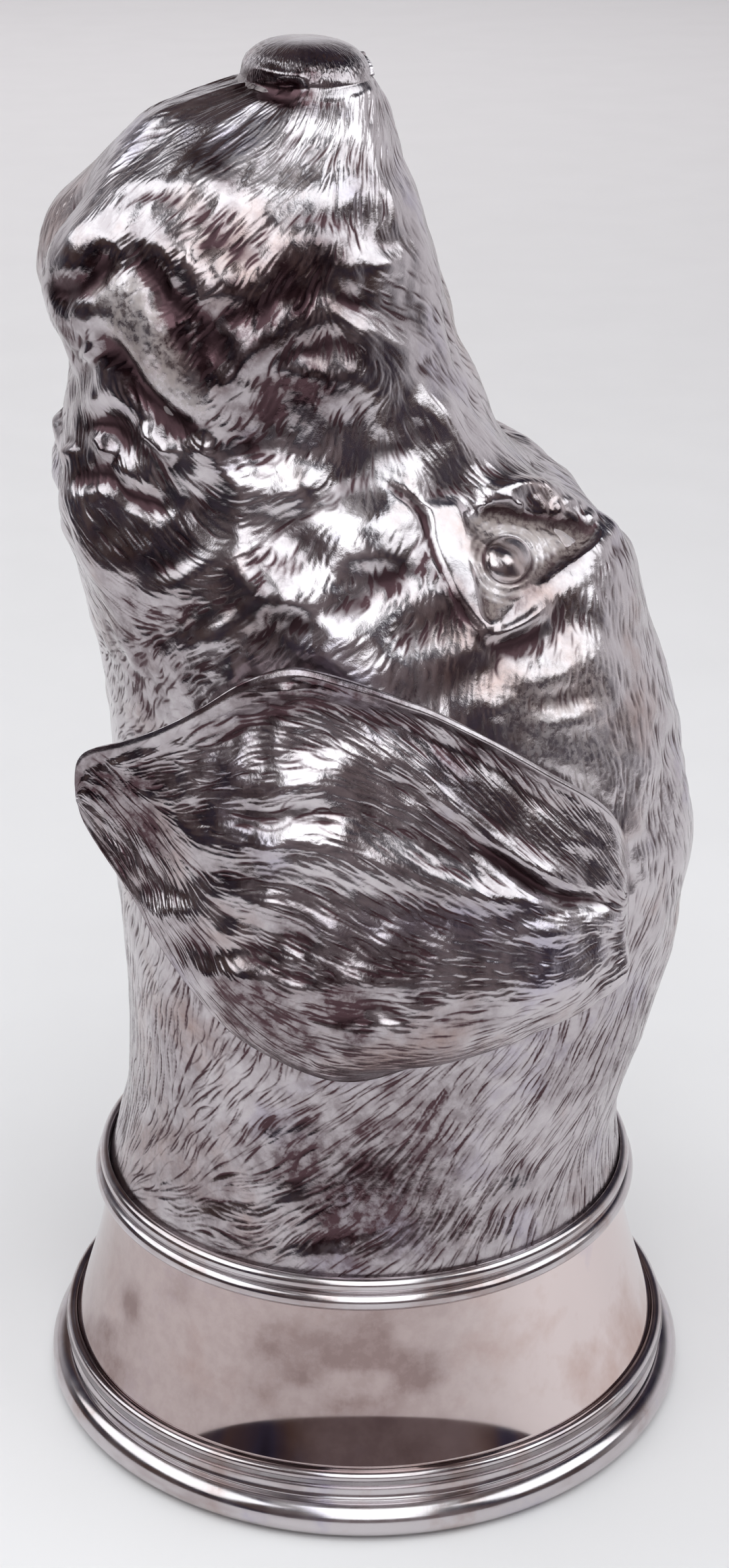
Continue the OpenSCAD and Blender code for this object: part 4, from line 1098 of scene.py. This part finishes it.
def silver(name, bright, film, polished, dull, cloud_size, grain_strength, mottling):
    material = bpy.data.materials.new(name)
    recipe = Recipe(material)
    place = recipe.where("Object")

    def noise(size, detail, rough=0.5):
        return recipe.noise(place, 1 / (size * MM), detail, rough)

    violet, brown = ([b * t for b, t in zip(bright, tint)] for tint in (VIOLET, BROWN))
    tints = recipe.ramp(noise(cloud_size, 6, 0.62),
                        (0.30, violet), (0.44, bright), (0.54, bright), (0.74, brown))
    cut = recipe.remap(recipe.mark("recess"), 0.0, 0.9)
    mottle = recipe.remap(noise(1.6, 5, 0.65), 0.36, 0.64, 1 - mottling, 1 + mottling)
    # share of dark film: patina in the cuts, plus the film mark, which holds tarnish and painted
    # shade
    tarnish_and_shade = recipe.combine("ADD", cut, recipe.combine("MULTIPLY", recipe.mark("film"), mottle))
    colour = recipe.mix(tarnish_and_shade, tints, (*film, 1))
    haze = recipe.remap(noise(cloud_size * 0.3, 4), 0.3, 0.7, polished, 1.5 * polished)
    dulled = recipe.remap(cut, 0.0, 1.0, 0.0, dull - polished)
    matte = recipe.combine("MULTIPLY", recipe.mark("matte"),
                           recipe.remap(noise(0.7, 5, 0.7), 0.38, 0.62, 0.35, 1.1))
    rough = recipe.combine("ADD", recipe.combine("ADD", haze, dulled),
                           recipe.remap(matte, 0.0, 1.0, 0.0, MATTE_ROUGHNESS))
    beige = recipe.remap(matte, 0.0, 1.0, 0.0, MATTE_PATINA)
    grain = recipe.feed(recipe.nodes.new("ShaderNodeBump"), {
        "Strength": grain_strength, "Distance": GRAIN_DEPTH * MM, "Height": noise(0.8, 5, 0.7)})
    recipe.feed(recipe.nodes["Principled BSDF"], {
        "Base Color": recipe.mix(beige, colour, (*PATINA, 1)), "Roughness": rough,
        "Metallic": recipe.remap(matte, 0.0, 1.0, 1.0, MATTE_METAL), "Normal": grain["Normal"]})
    print("mixed", name)
    return material


def dress(material, *pieces):
    for piece in pieces:
        piece.data.materials.clear()
        piece.data.materials.append(material)


cast_silver = silver("cast_silver", bright=(0.66, 0.615, 0.635), film=(0.085, 0.048, 0.055),
                     polished=0.14, dull=0.46, cloud_size=14, grain_strength=0.28, mottling=0.28)
sheet_silver = silver("sheet_silver", bright=(0.77, 0.665, 0.65), film=(0.30, 0.22, 0.21),
                      polished=0.03, dull=0.34, cloud_size=20, grain_strength=0.0, mottling=0.08)
polished_silver = silver("polished_silver", bright=(0.60, 0.56, 0.575), film=(0.28, 0.205, 0.195),
                         polished=0.14, dull=0.35, cloud_size=9, grain_strength=0.03, mottling=0.1)
dress(cast_silver, head, left_ear, right_ear)
dress(sheet_silver, collar)
dress(polished_silver, reeding, moulding)

# %% [markdown]
# ## The studio
# Polished metal shows the room more than itself, so the studio is half of the picture. The floor
# is a sheet of pale paper, rounded and short in front, because what lies beyond it decides how
# dark the cup's lower facets are. Behind the cup it runs far back and fills the picture.

# %% Floor
PAPER_DARK, PAPER_PALE, FIBRE_SCALE = (0.745, 0.732, 0.735), (0.785, 0.772, 0.775), 40
REACH, STRAIGHT, BACK, WIDE = 0.29, 0.2, 3.0, 1.6
paper = bpy.data.materials.new("studio_paper")
recipe = Recipe(paper)
fibre = recipe.noise(recipe.where("Object"), FIBRE_SCALE)
recipe.feed(recipe.nodes["Principled BSDF"], {
    "Base Color": recipe.ramp(fibre, (0.0, PAPER_DARK), (1.0, PAPER_PALE)), "Roughness": 0.5})
rounded = [(REACH * math.cos(turn), REACH * math.sin(turn), 0)
           for turn in np.radians(range(-180, 1, 10))]
sides = [(REACH, STRAIGHT, 0), (WIDE, BACK, 0), (-WIDE, BACK, 0), (-REACH, STRAIGHT, 0)]
sheet = bpy.data.meshes.new("studio_floor")
sheet.from_pydata(rounded + sides, [], [range(len(rounded) + len(sides))])
studio_floor = bpy.data.objects.new("studio_floor", sheet)
bpy.context.collection.objects.link(studio_floor)
dress(paper, studio_floor)
print("floor laid")

# %% [markdown]
# The room is a world with no walls: its colour depends only on the direction. It is dark and warm
# with soft clouds, which gives the dark patches of the silver, pale toward the back like a paper
# sweep, and a little lighter low in front of the cup.

# %% Room
SWEEP_PALE, LOW_GLOW, CLOUD_SCALE = (0.74, 0.73, 0.755, 1), (0.20, 0.165, 0.172, 1), 2.4
ROOM_SHADES = ((0.34, (0.012, 0.010, 0.013)), (0.46, (0.040, 0.036, 0.062)),
               (0.57, (0.090, 0.056, 0.045)), (0.70, (0.125, 0.10, 0.105)))
world = bpy.data.worlds.new("room")
bpy.context.scene.world = world
room = Recipe(world)
way = room.where("Generated")
axes = room.feed(room.nodes.new("ShaderNodeSeparateXYZ"), {"Vector": way})
to_back = room.remap(room.combine("MULTIPLY_ADD", axes["X"], 0.5, axes["Y"]), 0.0, 0.85)
sweep = room.combine("MULTIPLY", to_back, room.remap(axes["Z"], 0.55, 0.15))
low_front = room.combine("MULTIPLY", room.remap(axes["Y"], -0.76, -0.95),
                         room.remap(axes["Z"], -0.28, -0.02))
shade = room.ramp(room.noise(way, CLOUD_SCALE), *ROOM_SHADES)
glow = room.mix(low_front, shade, LOW_GLOW)
room.feed(room.nodes["Background"], {"Color": room.mix(sweep, glow, SWEEP_PALE), "Strength": 1.0})
print("room made with", len(room.nodes), "nodes")

# %% [markdown]
# Soft boxes to the left, to the right, in front and above give the white patches. Two more lamps
# are there for the paper, and the silver doesn't mirror them. A lamp is aimed by turning its own
# -Z axis toward a point.

# %% Lamps
COOL, NEUTRAL = (0.93, 0.985, 1.0), (0.985, 0.985, 1.0)
CUP = (0, 0, 0.08)


def soft_box(name, place, size, power, colour=COOL, aim=CUP, shows=True):
    lamp = bpy.data.lights.new(name, "AREA")
    lamp.shape = "RECTANGLE"
    lamp.size, lamp.size_y = size
    lamp.energy, lamp.color = power, colour
    box = bpy.data.objects.new(name, lamp)
    box.location = place
    aim = np.array(aim) - np.array(place)
    box.rotation_euler = (math.acos(-aim[2] / np.linalg.norm(aim)), 0,
                          math.atan2(aim[1], aim[0]) - math.pi / 2)
    box.visible_glossy = shows
    bpy.context.collection.objects.link(box)
    print(name, power, "W")


soft_box("left_box", (-0.47, 0.04, 0.50), (0.84, 0.44), 2.4)
soft_box("right_box", (0.48, -0.20, 0.50), (0.64, 0.44), 1.8)
soft_box("front_box", (-0.05, -0.45, 0.585), (0.40, 0.84), 2.4)
soft_box("floor_box", (0.0, -0.3, 0.7), (0.6, 0.5), 1.4, NEUTRAL, aim=(0, 0, 0), shows=False)
soft_box("top_box", (0.0, -0.05, 0.80), (0.5, 0.34), 0.2)
soft_box("back_box", (0.0, 1.0, 0.9), (1.2, 0.8), 9.0, NEUTRAL, aim=(0, 1.2, 0), shows=False)
bpy.context.scene.view_settings.view_transform = "Standard"

# %% Finish
bpy.context.view_layer.update()
